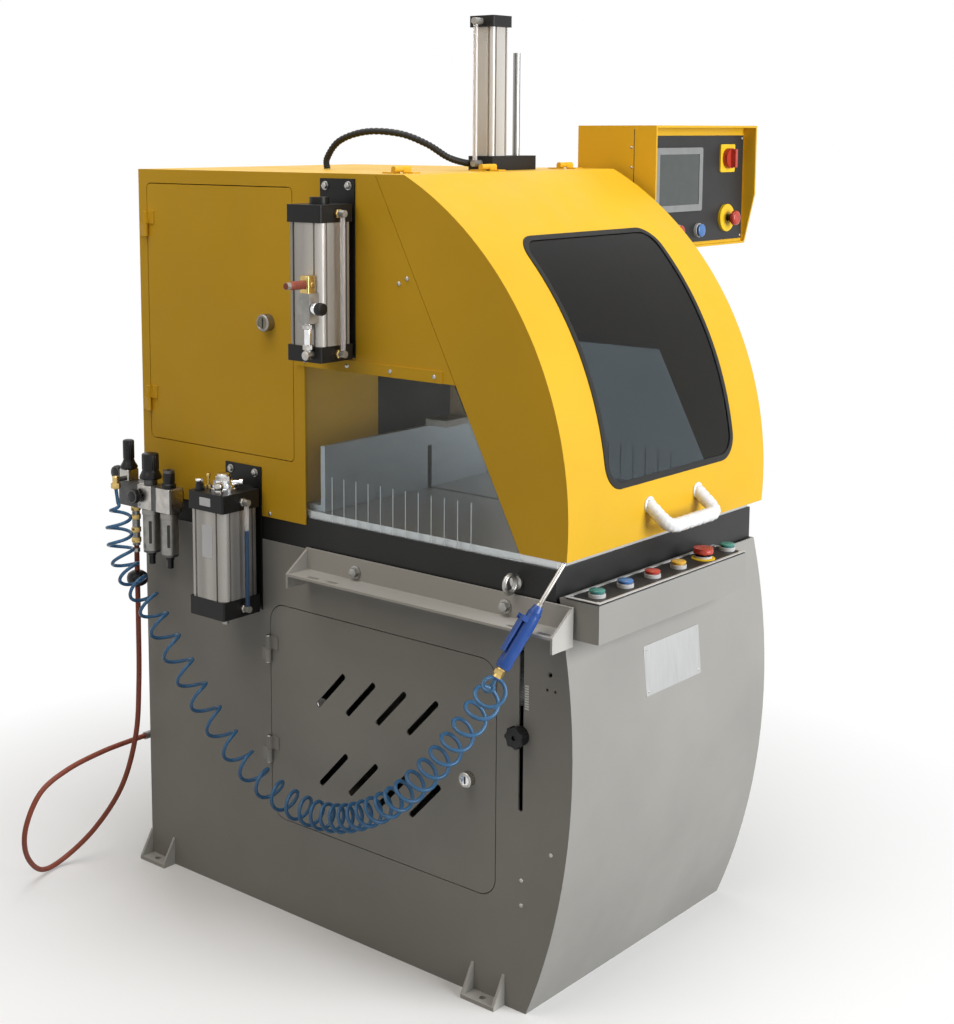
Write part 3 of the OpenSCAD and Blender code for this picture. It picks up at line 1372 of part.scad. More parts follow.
// Blow gun
gun_tip_off = [-7, 20, 87];
gun_tail_off = [-138, 76, -113];
gun_tip = [left_x, front_y, cab_h] + gun_tip_off;
gun_tail = [left_x, front_y, cab_h] + gun_tail_off;
gun_len = line_len(gun_tail, gun_tip);
gun_body = [22, 140];
gun_r = 13;
gun_neck_r = 9;
nozzle_r = 4;
tail_r = 8;
lever_x = [19, 22];
lever_z = [50, 124];
lever_half = 6;
lever_pin_z = 120;
lever_pin_r = 2.5;
lever_hub_r = 3;
lug_y = [6.5, 9.5];
module blow_gun() {
  color([0.1, 0.3, 0.7]) on_line(gun_tail, gun_tip) rotate(180) {
    cylinder(r = tail_r, h = gun_body[0] + gap);
    translate([0, 0, gun_body[0]]) cylinder(r = gun_r, h = gun_body[1] - gun_body[0]);
    translate([0, 0, gun_body[1] - gap]) cylinder(r = gun_neck_r, h = gun_r);
    cylinder(r = nozzle_r, h = gun_len);
    for (s = [-1, 1]) translate([0, s > 0 ? lug_y[0] : -lug_y[1], lever_pin_z - 2 * lever_pin_r])
      cube([lever_x[1] + lever_pin_r, lug_y[1] - lug_y[0], 4 * lever_pin_r]);
    translate([(lever_x[0] + lever_x[1]) / 2, -lug_y[1], lever_pin_z]) rotate([-90, 0, 0])
      cylinder(r = lever_pin_r / 2, h = 2 * lug_y[1]);
  }
}
module gun_trigger() {
  color([0.5, 0.5, 0.55]) on_line(gun_tail, gun_tip) rotate(180) difference() {
    union() {
      translate([lever_x[0], -lever_half, lever_z[0]])
        cube([lever_x[1] - lever_x[0], 2 * lever_half, lever_z[1] - lever_z[0]]);
      translate([(lever_x[0] + lever_x[1]) / 2, -lever_half, lever_pin_z]) rotate([-90, 0, 0])
        cylinder(r = lever_hub_r, h = 2 * lever_half);
    }
    translate([(lever_x[0] + lever_x[1]) / 2, -lever_half - over, lever_pin_z]) rotate([-90, 0, 0])
      cylinder(r = lever_pin_r / 2 + run, h = 2 * lever_half + 2 * over);
  }
}

// Hoses: a smooth curve through hand-chosen points, swept into one tube
tiny_share = 0.000001;
function spline(p, t) = let (n = len(p) - 1, u = min(t * n, n - tiny_share), i = floor(u), f = u - i,
  a = p[max(i - 1, 0)], b = p[i], c = p[i + 1], d = p[min(i + 2, n)])
  0.5 * (2 * b + (c - a) * f + (2 * a - 5 * b + 4 * c - d) * f * f + (3 * b - a - 3 * c + d) * f * f * f);
function unit(v) = v / norm(v);
function tangent(q, i) = unit(q[min(i + 1, len(q) - 1)] - q[max(i - 1, 0)]);
function side_of(t, ref) = unit(ref - (ref * t) * t);
module tube(q, refs, r, sides) {
  rings = len(q);
  points = [for (i = [0 : rings - 1]) let (t = tangent(q, i), n = side_of(t, refs[i]), b = cross(t, n))
    for (k = [0 : sides - 1]) let (a = full_turn * k / sides) q[i] + r * (cos(a) * n + sin(a) * b)];
  walls = [for (i = [0 : rings - 2], k = [0 : sides - 1]) let (a = i * sides + k,
    b = i * sides + (k + 1) % sides)
    each [[a, b + sides, b], [a, a + sides, b + sides]]];
  ends = concat([for (k = [1 : sides - 2]) [0, k, k + 1]],
    [for (k = [1 : sides - 2]) let (e = (rings - 1) * sides) [e, e + k + 1, e + k]]);
  polyhedron(points = points, faces = concat(walls, ends));
}
air_lead = [0, 36, 176];
air_points = [[-61, -36, 450], [-64, -24, 320], [-76, 16, 190], [-110, 75, 82], [-175, 112, 17],
  [-250, 100, 17], [-312, 69, 82], [-330, 44, 160], [-295, 33, 235], [-220, 31, 268], [-120, 31, 282],
  [-30, 31, 285], [8, 31, 285]];
air_route = concat([for (d = air_lead) [unit_x, coupler_y, coupler_z[0] - d]],
  [for (p = air_points) [left_x + p[0], rear_y + p[1], p[2]]]);
air_rings = 75;
air_sides = 8;
module air_hose() {
  q = [for (i = [0 : air_rings]) spline(air_route, i / air_rings)];
  color([0.5, 0.16, 0.12]) tube(q, [for (p = q) [0.3, 1, 0.2]], hose_d / 2, air_sides);
}
// Curled hose: out from the cabinet's side, along Y, below the cabinet's top
coil_points = [[105, 499, -45], [105, 497, 10], [105, 490, 68], [103, 462, 118], [102, 412, 162],
  [100, 363, 221], [95, 303, 295], [90, 236, 373], [85, 147, 454], [82, 42, 514], [80, -75, 536],
  [80, -189, 517], [80, -313, 446], [82, -418, 345], [92, -499, 252], [112, -572, 166],
  [145, -608, 124]];
coil_route = [for (p = coil_points) [left_x - p[0], p[1], cab_h - p[2]]];
coil_rings = 8;
coil_sides = 6;
ramp_share = 0.03;
function ramp(t) = let (s = min(1, t / ramp_share, (1 - t) / ramp_share)) s * s * (3 - 2 * s);
stretch_share = 0.54;
bottom_share = 0.64;
function wave(t) = sin(full_turn * (t + 0.5 - bottom_share));
function drawn(t) = t + stretch_share * (wave(t) - wave(0)) / (2 * PI);
coil_steps = curls * coil_rings;
coil_at = [for (i = [0 : coil_steps]) spline(coil_route, drawn(i / coil_steps))];
coil_out = [for (i = [0 : coil_steps]) let (t = tangent(coil_at, i), n = side_of(t, [1, 0, 0]),
  b = cross(t, n),
  a = full_turn * i / coil_rings) cos(a) * n + sin(a) * b];
curl_line = [for (i = [0 : coil_steps]) coil_at[i] + coil_r * ramp(i / coil_steps) * coil_out[i]];
coil_line = concat([outlet_at], curl_line, [gun_tail]);
coil_refs = concat([coil_out[0]], coil_out, [coil_out[coil_steps]]);
coil_gap = min([for (i = [0 : coil_steps - coil_rings], j = [i + coil_rings : coil_steps])
  norm(curl_line[i] - curl_line[j])]) - coil_d;
module coil_hose() {
  echo(coil_gap = coil_gap);
  color([0.15, 0.35, 0.75]) tube(coil_line, coil_refs, coil_d / 2, coil_sides);
}
loom_points = [[-100, 188, 1.1], [-100, 188, 25], [-100, 150, 63], [-100, 70, 83], [-92, -20, 79],
  [-72, -80, 57], [-40, -112, 29], [0, -126, 17], [26.6, -126, 16]];
loom_route = [for (p = loom_points) p + [0, 0, top_z]];
loom_d = 15;
loom_rings = 36;
module top_loom() {
  q = [for (i = [0 : loom_rings]) spline(loom_route, i / loom_rings)];
  color([0.06, 0.06, 0.06]) tube(q, [for (p = q) [1, 0.2, 0.1]], loom_d / 2, air_sides);
}

base_cabinet();
floor_feet();
cabinet_door();
cabinet_latch();
stroke_knob();
table_deck();
table_top();
rear_fence();
rear_housing();
electrical_panel();
electrical_door();
electrical_latch();
side_curtains();
hood();
hood_window();
window_gasket();
hood_handle();
hinge_bases();
saw_blade();
arbor();
swing_arm();
pivot_shaft();
motor();
motor_pulley();
drive_belts();
lift_cylinder();
lift_rod();
clamp_cylinder();
clamp_ram();
tank_barrels();
end_caps();
tank_brackets();
clear_tubes();
tank_fittings();
flow_knob();
air_unit();
regulator_knob();
small_regulator_knob();
outfeed_bracket();
bracket_bolts();
lifting_eye();
control_box();
control_plates();
teal_button();
blue_button();
red_button();
yellow_button();
stop_button();
green_button();
console_box();
console_screen();
console_switch();
console_stop();
console_red_button();
console_blue_button();
blow_gun();
gun_trigger();
air_hose();
coil_hose();
top_loom();
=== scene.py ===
import math

import bpy
import numpy as np
from mathutils import Matrix


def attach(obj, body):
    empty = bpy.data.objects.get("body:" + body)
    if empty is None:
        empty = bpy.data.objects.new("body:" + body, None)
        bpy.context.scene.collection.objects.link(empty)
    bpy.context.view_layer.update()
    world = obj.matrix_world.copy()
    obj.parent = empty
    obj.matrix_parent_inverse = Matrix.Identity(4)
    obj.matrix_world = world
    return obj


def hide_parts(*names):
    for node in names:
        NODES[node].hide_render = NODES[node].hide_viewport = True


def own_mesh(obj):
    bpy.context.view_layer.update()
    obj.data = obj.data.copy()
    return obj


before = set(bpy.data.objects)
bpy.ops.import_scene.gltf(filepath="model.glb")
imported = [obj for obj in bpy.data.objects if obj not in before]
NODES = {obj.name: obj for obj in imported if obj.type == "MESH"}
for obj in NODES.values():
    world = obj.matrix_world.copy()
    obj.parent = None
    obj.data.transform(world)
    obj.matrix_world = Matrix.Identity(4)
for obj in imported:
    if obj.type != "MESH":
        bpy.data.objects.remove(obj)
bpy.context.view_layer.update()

bl_info = {
    "name": "Upcut saw",
    "version": (1, 0, 0),
    "blender": (4, 5, 0),
    "location": "View3D > Sidebar > Upcut saw",
    "description": "Dresses the packed upcut saw with finishes, hoses, controls and small parts",
    "category": "Object",
}

MM = 0.001
FULL_TURN = 2 * math.pi
FINISH = {}

# Finish and slot that many pieces share
BLACK = ("black_plastic", "black_plastic")
BRASS = ("brass", "brass")
ZINC = ("zinc", "bright_steel")

LEFT, RIGHT = (-1, 0, 0), (1, 0, 0)
FRONT, BACK = (0, -1, 0), (0, 1, 0)
DOWN, UP = (0, 0, -1), (0, 0, 1)

# Photograph's camera: place in metres, angles in radians, picture sizes in pixels
CAMERA_AT = (-2.8316, -2.4283, 1.7111)
CAMERA_YAW = 0.8493
CAMERA_PITCH = -0.1409
FOCAL_PX = 1677.94
CENTRE_PX = (398.9, 369.2)
PHOTO_PX = (954, 1024)
SENSOR = 36.0

# Lamps: place, target and size in metres, power in watts, colour
LAMPS = {
    "key": ((0.5, -4.2, 2.0), (0.0, -0.2, 0.8), 2.6, 188, (0.97, 0.985, 1.0)),
    "fill": ((-2.9, 0.4, 3.4), (-0.3, 0.0, 1.3), 2.0, 21, (1.0, 0.88, 0.72)),
    "top": ((-0.3, 0.2, 4.2), (0.0, 0.0, 0.5), 3.2, 95, (1.0, 1.0, 1.0)),
}
SKY = (1.0, 0.91, 0.78, 1)
SKY_STRENGTH = 0.12
WHITE = (1, 1, 1, 1)

# Floor: half its width, colour as light meets it and as the eye does, and where it fades to white
FLOOR_HALF = 14.0
FLOOR_LIT = (0.32, 0.315, 0.3, 1)
FLOOR_SEEN = (0.94, 0.94, 0.94, 1)
FLOOR_FADE = (0.55, 1.6)

# Routes of the hoses and the loom, in millimetres, as in the part's source
AIR_ROUTE = [
    (-420, 491, 776), (-420, 491, 740), (-420, 491, 600), (-421, 493, 450), (-424, 505, 320),
    (-436, 545, 190), (-470, 604, 82), (-535, 641, 17), (-610, 629, 17), (-672, 598, 82),
    (-690, 573, 160), (-655, 562, 235), (-580, 560, 268), (-480, 560, 282), (-390, 560, 285),
    (-352, 560, 285)]
COIL_ROUTE = [
    (-465, 499, 880), (-465, 497, 825), (-465, 490, 767), (-463, 462, 717), (-462, 412, 673),
    (-460, 363, 614), (-455, 303, 540), (-450, 236, 462), (-445, 147, 381), (-442, 42, 321),
    (-440, -75, 299), (-440, -189, 318), (-440, -313, 389), (-442, -418, 490), (-452, -499, 583),
    (-472, -572, 669), (-505, -608, 711)]
LOOM_ROUTE = [
    (-100, 188, 1628.1), (-100, 188, 1652), (-100, 150, 1690), (-100, 70, 1710), (-92, -20, 1706),
    (-72, -80, 1684), (-40, -112, 1656), (0, -126, 1644), (26.6, -126, 1643)]
COIL_START = (-465, 505, 912)
GUN_TAIL = (-498, -611, 722)
GUN_TIP = (-367, -667, 922)

# Rings along the air hose and the loom, and points on the air hose's cord
HOSE_RINGS = 220
LOOM_RINGS = 260

# Curled hose: how far its curls are drawn apart, the shares of its length where they lie closest
# and over which its ends open, and the steps in a curl
COIL_STRETCH = 0.54
COIL_BOTTOM = 0.64
COIL_END = 0.03
CURL_STEPS = 24

# Hood's grip in millimetres: half its length, feet and bar as (y, z), bend, radius, and the
# creases of its film as (height, length along, turns round)
GRIP_HALF = 89.5
GRIP_FOOT = (-668.6, 986.7)
GRIP_BAR = (-717.5, 948.0)
GRIP_BEND = 27
GRIP_RADIUS = 13.9
CREASES = ((0.45, 1.9, 2), (0.35, 1.07, -3), (0.3, 3.7, 1))

# Faces that small pieces sit on, in millimetres, and the round of the cabinet's bowed front:
# its middle's y and z, and its radius
LEFT_FACE = -360
BOX_TOP = 853.25
CONSOLE_FRONT = -338
CONSOLE_SIDE = 380
TANK_TOP = 950
BOW = (684.0, 521.0, 1371.0)

# Solids that stay in view, by the finish they wear
WEAR = {
    "yellow": "rear_housing hood electrical_door console_box",
    "hinge": "hinge_bases",
    "grey": "base_cabinet cabinet_door",
    "tray": "floor_feet outfeed_bracket",
    "box": "control_box",
    "black": "table_deck swing_arm control_plates",
    "caps": "end_caps tank_brackets",
    "steel": "table_top arbor pivot_shaft lift_rod motor_pulley",
    "rod": "clamp_ram",
    "zinc": "bracket_bolts lifting_eye",
    "fence": "rear_fence",
    "blade": "saw_blade",
    "barrel": "tank_barrels clamp_cylinder lift_cylinder",
    "black_plastic": "stroke_knob flow_knob regulator_knob small_regulator_knob",
    "knob": "electrical_latch",
    "rubber": "drive_belts window_gasket",
    "chrome": "cabinet_latch",
    "valve": "tank_fittings",
    "unit": "air_unit",
    "motor": "motor",
    "curtain": "side_curtains",
    "tube": "clear_tubes",
    "window": "hood_window",
    "film": "hood_handle",
    "panel": "electrical_panel",
    "teal": "teal_button",
    "blue": "blue_button console_blue_button",
    "red": "red_button stop_button console_red_button console_stop console_switch",
    "amber": "yellow_button",
    "green": "green_button",
    "bezel": "console_screen",
    "gun": "blow_gun gun_trigger",
}


# Shapes

def surface(name, grids, finish, body="frame", loop=False, sharp=38.0):
    """One mesh from grids of points (copy, row, around), whose columns close on themselves.

    The rows close too where loop is set, as round a ring, and otherwise each end has a fan to its
    middle. The piece rides on its body, and edges past the sharp angle in degrees stay sharp.
    """
    grids = np.asarray(grids, float)
    if grids.ndim == 3:
        grids = grids[None]
    copies, rows, cols = grids.shape[:3]
    i, j = np.meshgrid(np.arange(rows if loop else rows - 1), np.arange(cols), indexing="ij")
    k, m = (j + 1) % cols, (i + 1) % rows
    quads = np.stack([i * cols + j, i * cols + k, m * cols + k, m * cols + j], -1).reshape(-1, 4)
    points = grids.reshape(copies, -1, 3)
    fans = np.zeros((0, 3), int)
    if not loop:
        middles = np.stack([grids[:, 0].mean(1), grids[:, -1].mean(1)], 1)
        points = np.concatenate([points, middles], 1)
        ring = np.arange(cols)
        after, top = (ring + 1) % cols, (rows - 1) * cols
        fans = np.concatenate([
            np.stack([np.full(cols, rows * cols), after, ring], -1),
            np.stack([np.full(cols, rows * cols + 1), top + ring, top + after], -1)])
    offset = np.arange(copies)[:, None, None] * points.shape[1]
    faces = (quads + offset).reshape(-1, 4).tolist() + (fans + offset).reshape(-1, 3).tolist()

    mesh = bpy.data.meshes.new(name)
    mesh.from_pydata(points.reshape(-1, 3).tolist(), [], faces)
    mesh.polygons.foreach_set("use_smooth", np.ones(len(mesh.polygons), dtype=bool))
    mesh.set_sharp_from_angle(angle=math.radians(sharp))
    mesh.update()
    obj = bpy.data.objects.new(name, mesh)
    bpy.context.scene.collection.objects.link(obj)
    mesh.materials.append(FINISH[finish])
    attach(obj, body)
    return obj


def axes_of(direction):
    """Two unit vectors square to a direction and to each other, right-handed with it."""
    d = np.asarray(direction, float)
    d = d / np.linalg.norm(d)
    u = np.cross(UP if abs(d[2]) < 0.9 else RIGHT, d)
    u /= np.linalg.norm(u)
    return u, np.cross(d, u), d


def turned(name, places, direction, profile, finish, slot, sides=40, body="frame", flutes=0,
           flute=0.0, loop=False):
    """Surfaces of revolution: a profile of (along, radius) turned about a line at each place.

    Flutes scale the radius by a cosine wave round the line, as on a knurled knob, and six sides
    make a hexagon.
    """
    u, v, d = axes_of(direction)
    places = np.atleast_2d(np.asarray(places, float)) * MM
    profile = np.asarray(profile, float) * MM
    a = np.linspace(0, FULL_TURN, sides, endpoint=False)
    wave = 1 + flute * np.cos(flutes * a)
    around = (np.cos(a)[:, None] * u + np.sin(a)[:, None] * v) * wave[:, None]
    grids = (places[:, None, None] + profile[:, 0, None, None] * d
             + profile[:, 1, None, None] * around)
    return surface(name, grids, finish, body, loop)


def rounded_outline(half_u, half_v, corner, each=8):
    """A rectangle with four quarter-circle corners, as points in turn."""
    a = np.linspace(0, math.pi / 2, each)
    arc = np.stack([np.cos(a), np.sin(a)], -1) * corner
    parts = []
    for su, sv, c, s in ((1, 1, 1, 0), (-1, 1, 0, 1), (-1, -1, -1, 0), (1, -1, 0, -1)):
        quarter = np.stack([arc[:, 0] * c - arc[:, 1] * s, arc[:, 0] * s + arc[:, 1] * c], -1)
        parts.append(quarter + np.array((su * (half_u - corner), sv * (half_v - corner))))
    return np.concatenate(parts)


def raised(half, thick, corner, edge):
    """Rows of (across, up, height) of a rounded rectangle, its upper edge a quarter circle.

    A last row lies on the flat top just inside the round, so that the middle is shaded flat.
    """
    edge = min(edge, thick * 0.9)
    a = np.linspace(0, math.pi / 2, 5)
    inset = np.concatenate([[0.0], edge * (1 - np.cos(a)), [edge * 1.4]])
    height = np.concatenate([[0.0], thick - edge + edge * np.sin(a), [thick]])
    rows = np.stack([rounded_outline(half[0] - i, half[1] - i, max(corner - i, 0.05))
                     for i in inset])
    return np.concatenate([rows, np.broadcast_to(height[:, None, None], rows.shape[:2] + (1,))], -1)


def plate(name, places, across, up, half, thick, corner, finish, slot, edge=0.8, body="frame"):
    """Rounded rectangles raised along their normal, one at each place."""
    across, up = np.asarray(across, float), np.asarray(up, float)
    rows = raised(half, thick, corner, edge)
    grid = rows[..., 0:1] * across + rows[..., 1:2] * up + rows[..., 2:3] * np.cross(across, up)
    places = np.atleast_2d(np.asarray(places, float))
    surface(name, (places[:, None, None] + grid) * MM, finish, body)


def bowed_plate(name, x, z, half, thick, corner, finish, edge=0.5):
    """A rounded rectangle laid on the bow: up becomes arc length, and height becomes radius."""
    middle_y, middle_z, radius = BOW
    rows = raised(half, thick, corner, edge)
    inner = rows[-1:] * np.linspace(0.92, 0.08, 12)[:, None, None]
    inner[..., 2] = thick
    rows = np.concatenate([rows, inner])
    angle = math.asin((z - middle_z) / radius) + rows[..., 1] / radius
    far = radius + rows[..., 2]
    grid = np.stack([x + rows[..., 0], middle_y - far * np.cos(angle),
                     middle_z + far * np.sin(angle)], -1)
    surface(name, grid * MM, finish)


def rim(name, at, across, up, outer, inner, thick, finish):
    """A flat ring between two outlines of as many points: four rows carried round the section."""
    across, up = np.asarray(across, float), np.asarray(up, float)
    rows = [(inner, 0.0), (outer, 0.0), (outer, thick), (inner, thick)]
    grid = np.stack([np.asarray(at, float) + o[:, 0:1] * across + o[:, 1:2] * up
                     + h * np.cross(across, up) for o, h in rows])
    surface(name, grid * MM, finish, loop=True)


def rounded_path(points, reach, each=14):
    """Straight runs joined by quadratic curves, a reach before and after each corner."""
    p = np.asarray(points, float)
    t = np.linspace(0, 1, each)[:, None]
    runs = [p[:1]]
    for a, b, c in zip(p, p[1:], p[2:]):
        start = b + (a - b) * reach / np.linalg.norm(a - b)
        end = b + (c - b) * reach / np.linalg.norm(c - b)
        runs.append((1 - t) ** 2 * start + 2 * t * (1 - t) * b + t ** 2 * end)
    return np.concatenate(runs + [p[-1:]])


def even_path(path, count):
    """The same line with its points spread evenly by length."""
    far = np.concatenate([[0.0], np.cumsum(np.linalg.norm(np.diff(path, axis=0), axis=1))])
    at = np.linspace(0, far[-1], count)
    return np.stack([np.interp(at, far, path[:, k]) for k in range(3)], -1), at


def smooth_route(points, shares):
    """A Catmull-Rom curve through the points: each span blends its four neighbours by a cubic."""
    p = np.asarray(points, float)
    n = len(p) - 1
    t = np.asarray(shares) * n
    i = np.minimum(t.astype(int), n - 1)
    f = (t - i)[:, None]
    a, b, c, d = p[np.maximum(i - 1, 0)], p[i], p[i + 1], p[np.minimum(i + 2, n)]
    return 0.5 * (2 * b + (c - a) * f + (2 * a - 5 * b + 4 * c - d) * f ** 2
                  + (3 * b - a - 3 * c + d) * f ** 3)


def frame_of(path, refs):
    """Unit vectors square to a line: one turned to refs, and one square to that."""
    t = np.gradient(path, axis=0)
    t = t / np.linalg.norm(t, axis=1)[:, None]
    n = refs - (refs * t).sum(1)[:, None] * t
    n /= np.linalg.norm(n, axis=1)[:, None]
    return n, np.cross(t, n)


def swept(name, path, refs, radius, sides, finish, body="frame"):
    """A round section carried along a path: each ring is square to it, its start turned to refs."""
    n, b = frame_of(path, np.asarray(refs, float))
    a = np.linspace(0, FULL_TURN, sides, endpoint=False)
    out = np.cos(a)[None, :, None] * n[:, None] + np.sin(a)[None, :, None] * b[:, None]
    grid = path[:, None] + np.asarray(radius, float)[..., None] * out
    return surface(name, grid, finish, body, sharp=60.0)


# Finishes

def feed(tree, node, inputs):
    """Set a node's inputs: constants directly on its sockets, other nodes' outputs by links."""
    for name, value in inputs.items():
        if isinstance(value, bpy.types.NodeSocket):
            tree.links.new(value, node.inputs[name])
        else:
            node.inputs[name].default_value = value


def add(tree, kind, inputs, **settings):
    """A new node with its settings and inputs."""
    node = tree.nodes.new(kind)
    for name, value in settings.items():
        setattr(node, name, value)
    feed(tree, node, inputs)
    return node


class Finish:
    """A new material with its tree, its shader and Object coordinates."""

    def __init__(self, name):
        self.material = bpy.data.materials.new(name)
        self.material.use_nodes = True
        self.tree = self.material.node_tree
        self.shader = self.tree.nodes["Principled BSDF"]
        self.place = add(self.tree, "ShaderNodeTexCoord", {}).outputs["Object"]

    def set(self, inputs):
        """Set the shader's inputs and hand over the material."""
        feed(self.tree, self.shader, inputs)
        return self.material

    def noise(self, scale, detail, stretch=(1, 1, 1)):
        """Noise on Object coordinates; stretch scales each axis, for a grain with a direction."""
        place = self.place
        if stretch != (1, 1, 1):
            mapping = add(self.tree, "ShaderNodeMapping", {"Scale": stretch, "Vector": place})
            place = mapping.outputs["Vector"]
        inputs = {"Scale": scale, "Detail": detail, "Vector": place}
        return add(self.tree, "ShaderNodeTexNoise", inputs).outputs["Fac"]

    def colour(self, factor, low, high, start=0.3, end=0.7):
        """Base colour that goes from low to high as a factor goes from start to end."""
        node = add(self.tree, "ShaderNodeValToRGB", {"Fac": factor})
        for stop, position, colour in zip(node.color_ramp.elements, (start, end), (low, high)):
            stop.position = position
            stop.color = (*colour, 1)
        self.set({"Base Color": node.outputs["Color"]})

    def rough(self, factor, low, high):
        """Roughness that goes from low to high over the middle of a noise."""
        node = add(self.tree, "ShaderNodeMapRange", {
            "Value": factor, "From Min": 0.3, "From Max": 0.7, "To Min": low, "To Max": high})
        self.set({"Roughness": node.outputs["Result"]})

    def bump(self, height, strength, distance=0.0005):
        """Bumps whose height follows a noise."""
        node = add(self.tree, "ShaderNodeBump", {
            "Height": height, "Strength": strength, "Distance": distance})
        self.set({"Normal": node.outputs["Normal"]})

    def split(self, height, low, high, soft=0.001):
        """Colour that changes from low to high at a height, over a soft band."""
        axes = add(self.tree, "ShaderNodeSeparateXYZ", {0: self.place})
        step = add(self.tree, "ShaderNodeMapRange", {
            "Value": axes.outputs["Z"], "From Min": height - soft, "From Max": height + soft})
        self.colour(step.outputs["Result"], low, high, 0.2, 0.8)


def shade(colour, factor):
    """A colour made darker or lighter."""
    return tuple(min(1.0, c * factor) for c in colour[:3])


def grained(name, colour, spread, cloud, gloss, grain, inputs):
    """A finish whose colour, roughness and bumps each follow a noise of their own.

    Each noise starts with its scale and detail. Roughness adds its range, and bumps add strength
    and depth. Spread holds the darkest and the lightest share of the colour.
    """
    made = Finish(name)
    made.colour(made.noise(*cloud), *(shade(colour, share) for share in spread))
    made.rough(made.noise(*gloss[:2]), *gloss[2:])
    made.bump(made.noise(*grain[:2]), *grain[2:])
    return made.set(inputs)


def painted(name, colour, rough, peel=0.12, mottle=0.06):
    """Powder-coated sheet: a fine orange-peel bump, faint cloudy colour and uneven gloss."""
    return grained(name, colour, (1 - mottle, 1 + mottle), (3, 4),
                   (14, 5, rough - 0.06, rough + 0.08), (420, 2, peel),
                   {"Specular IOR Level": 0.22})


def cast(name, colour, rough, metallic):
    """Cast or plated fittings: a fine grain with slightly uneven tarnish."""
    return grained(name, colour, (0.82, 1.1), (60, 5), (90, 3, rough - 0.1, rough + 0.1),
                   (900, 2, 0.08, 0.0002), {"Metallic": metallic})


def moulded(name, colour, rough, grain, coat=0.0):
    """Moulded plastic or rubber: a very fine spark grain and barely uneven colour."""
    return grained(name, colour, (0.93, 1.07), (40, 3),
                   (70, 3, rough - 0.05, rough + 0.07), (1500, 2, grain, 0.0002),
                   {"Specular IOR Level": 0.28, "Coat Weight": coat})


def brushed(name, colour, rough, stretch, scale=30, metallic=1.0):
    """Ground or brushed metal: noise stretched along one axis drives gloss and a faint bump."""
    made = Finish(name)
    grain = made.noise(scale, 4, stretch)
    made.colour(grain, shade(colour, 0.9), shade(colour, 1.08))
    made.rough(grain, rough - 0.08, rough + 0.1)
    made.bump(grain, 0.06, 0.0002)
    return made.set({"Metallic": metallic})


def drawn(name, colour, rough):
    """Extruded barrel: soft bands of painted reflection down its height, under fine drawing lines.
    """
    made = Finish(name)
    # Light and dark bands in the base colour are painted reflection
    reflection_streaks = made.noise(17, 1, (1, 1, 0.01))
    made.colour(reflection_streaks, shade(colour, 0.42), shade(colour, 1.3), 0.36, 0.62)
    lines = made.noise(30, 4, (60, 60, 1))
    made.rough(lines, rough - 0.08, rough + 0.1)
    made.bump(lines, 0.06, 0.0002)
    return made.set({"Metallic": 0.25})


def two_paints(name, low, high, height):
    """Hinges painted over with what they sit on: one paint below a height, another above it."""
    made = Finish(name)
    made.split(height, low, high)
    made.rough(made.noise(14, 5), 0.36, 0.5)
    made.bump(made.noise(420, 2), 0.1)
    return made.material


def ruled(name, pitch):
    """White strip with dark lines across it: thin bands that repeat along Z."""
    made = Finish(name)
    inputs = {"Scale": math.pi / (10 * pitch), "Vector": made.place}
    wave = add(made.tree, "ShaderNodeTexWave", inputs, bands_direction="Z")
    made.colour(wave.outputs["Fac"], (0.75, 0.75, 0.73), (0.04, 0.04, 0.04), 0.86, 0.94)
    return made.set({"Roughness": 0.45})


def see_through(name, colour, rough, weight, ior, ripple=0.06):
    """Clear sheet or tube: light passes, tinted, and a slow ripple bends the reflections."""
    made = Finish(name)
    made.colour(made.noise(5, 2), shade(colour, 0.96), shade(colour, 1.02))
    made.bump(made.noise(9, 2), ripple, 0.002)
    return made.set({"Roughness": rough, "Transmission Weight": weight, "IOR": ior})


def part_filled(name, fluid, clear, level):
    """Sight tube of clear plastic, tinted by its fluid up to a level."""
    made = Finish(name)
    made.split(level, fluid, clear, 0.002)
    made.bump(made.noise(20, 2), 0.01, 0.001)
    return made.set({"Roughness": 0.12, "Transmission Weight": 0.7, "IOR": 1.25})


class SawColours(bpy.types.PropertyGroup):
    """Colours of the main finishes."""

    yellow: bpy.props.FloatVectorProperty(
        name="Yellow paint", description="Hood, housing and console", size=3, subtype="COLOR",
        default=(0.725, 0.425, 0.021))
    grey: bpy.props.FloatVectorProperty(
        name="Grey paint", description="Cabinet, feet and brackets", size=3, subtype="COLOR",
        default=(0.322, 0.315, 0.297))
    black: bpy.props.FloatVectorProperty(
        name="Black paint", description="Deck band and plates", size=3, subtype="COLOR",
        default=(0.026, 0.026, 0.026))
    coil: bpy.props.FloatVectorProperty(
        name="Curled hose", description="Blow gun's curled hose", size=3, subtype="COLOR",
        default=(0.075, 0.22, 0.42))
    hose: bpy.props.FloatVectorProperty(
        name="Air hose", description="Supply hose", size=3, subtype="COLOR",
        default=(0.3, 0.08, 0.05))


class SawSizes(bpy.types.PropertyGroup):
    """Sizes of the hoses, in metres."""

    hose_d: bpy.props.FloatProperty(
        name="Air hose", description="Diameter of the air hose", default=0.012, unit="LENGTH")
    coil_d: bpy.props.FloatProperty(
        name="Curled hose tube", description="Diameter of the curled hose's tube", default=0.008,
        unit="LENGTH")
    coil_r: bpy.props.FloatProperty(
        name="Curl radius", description="Mean radius of a curl", default=0.027, unit="LENGTH")
    curls: bpy.props.IntProperty(name="Curls", description="Number of curls", default=36)
    loom_d: bpy.props.FloatProperty(
        name="Loom", description="Diameter of the loom's sleeve", default=0.015, unit="LENGTH")


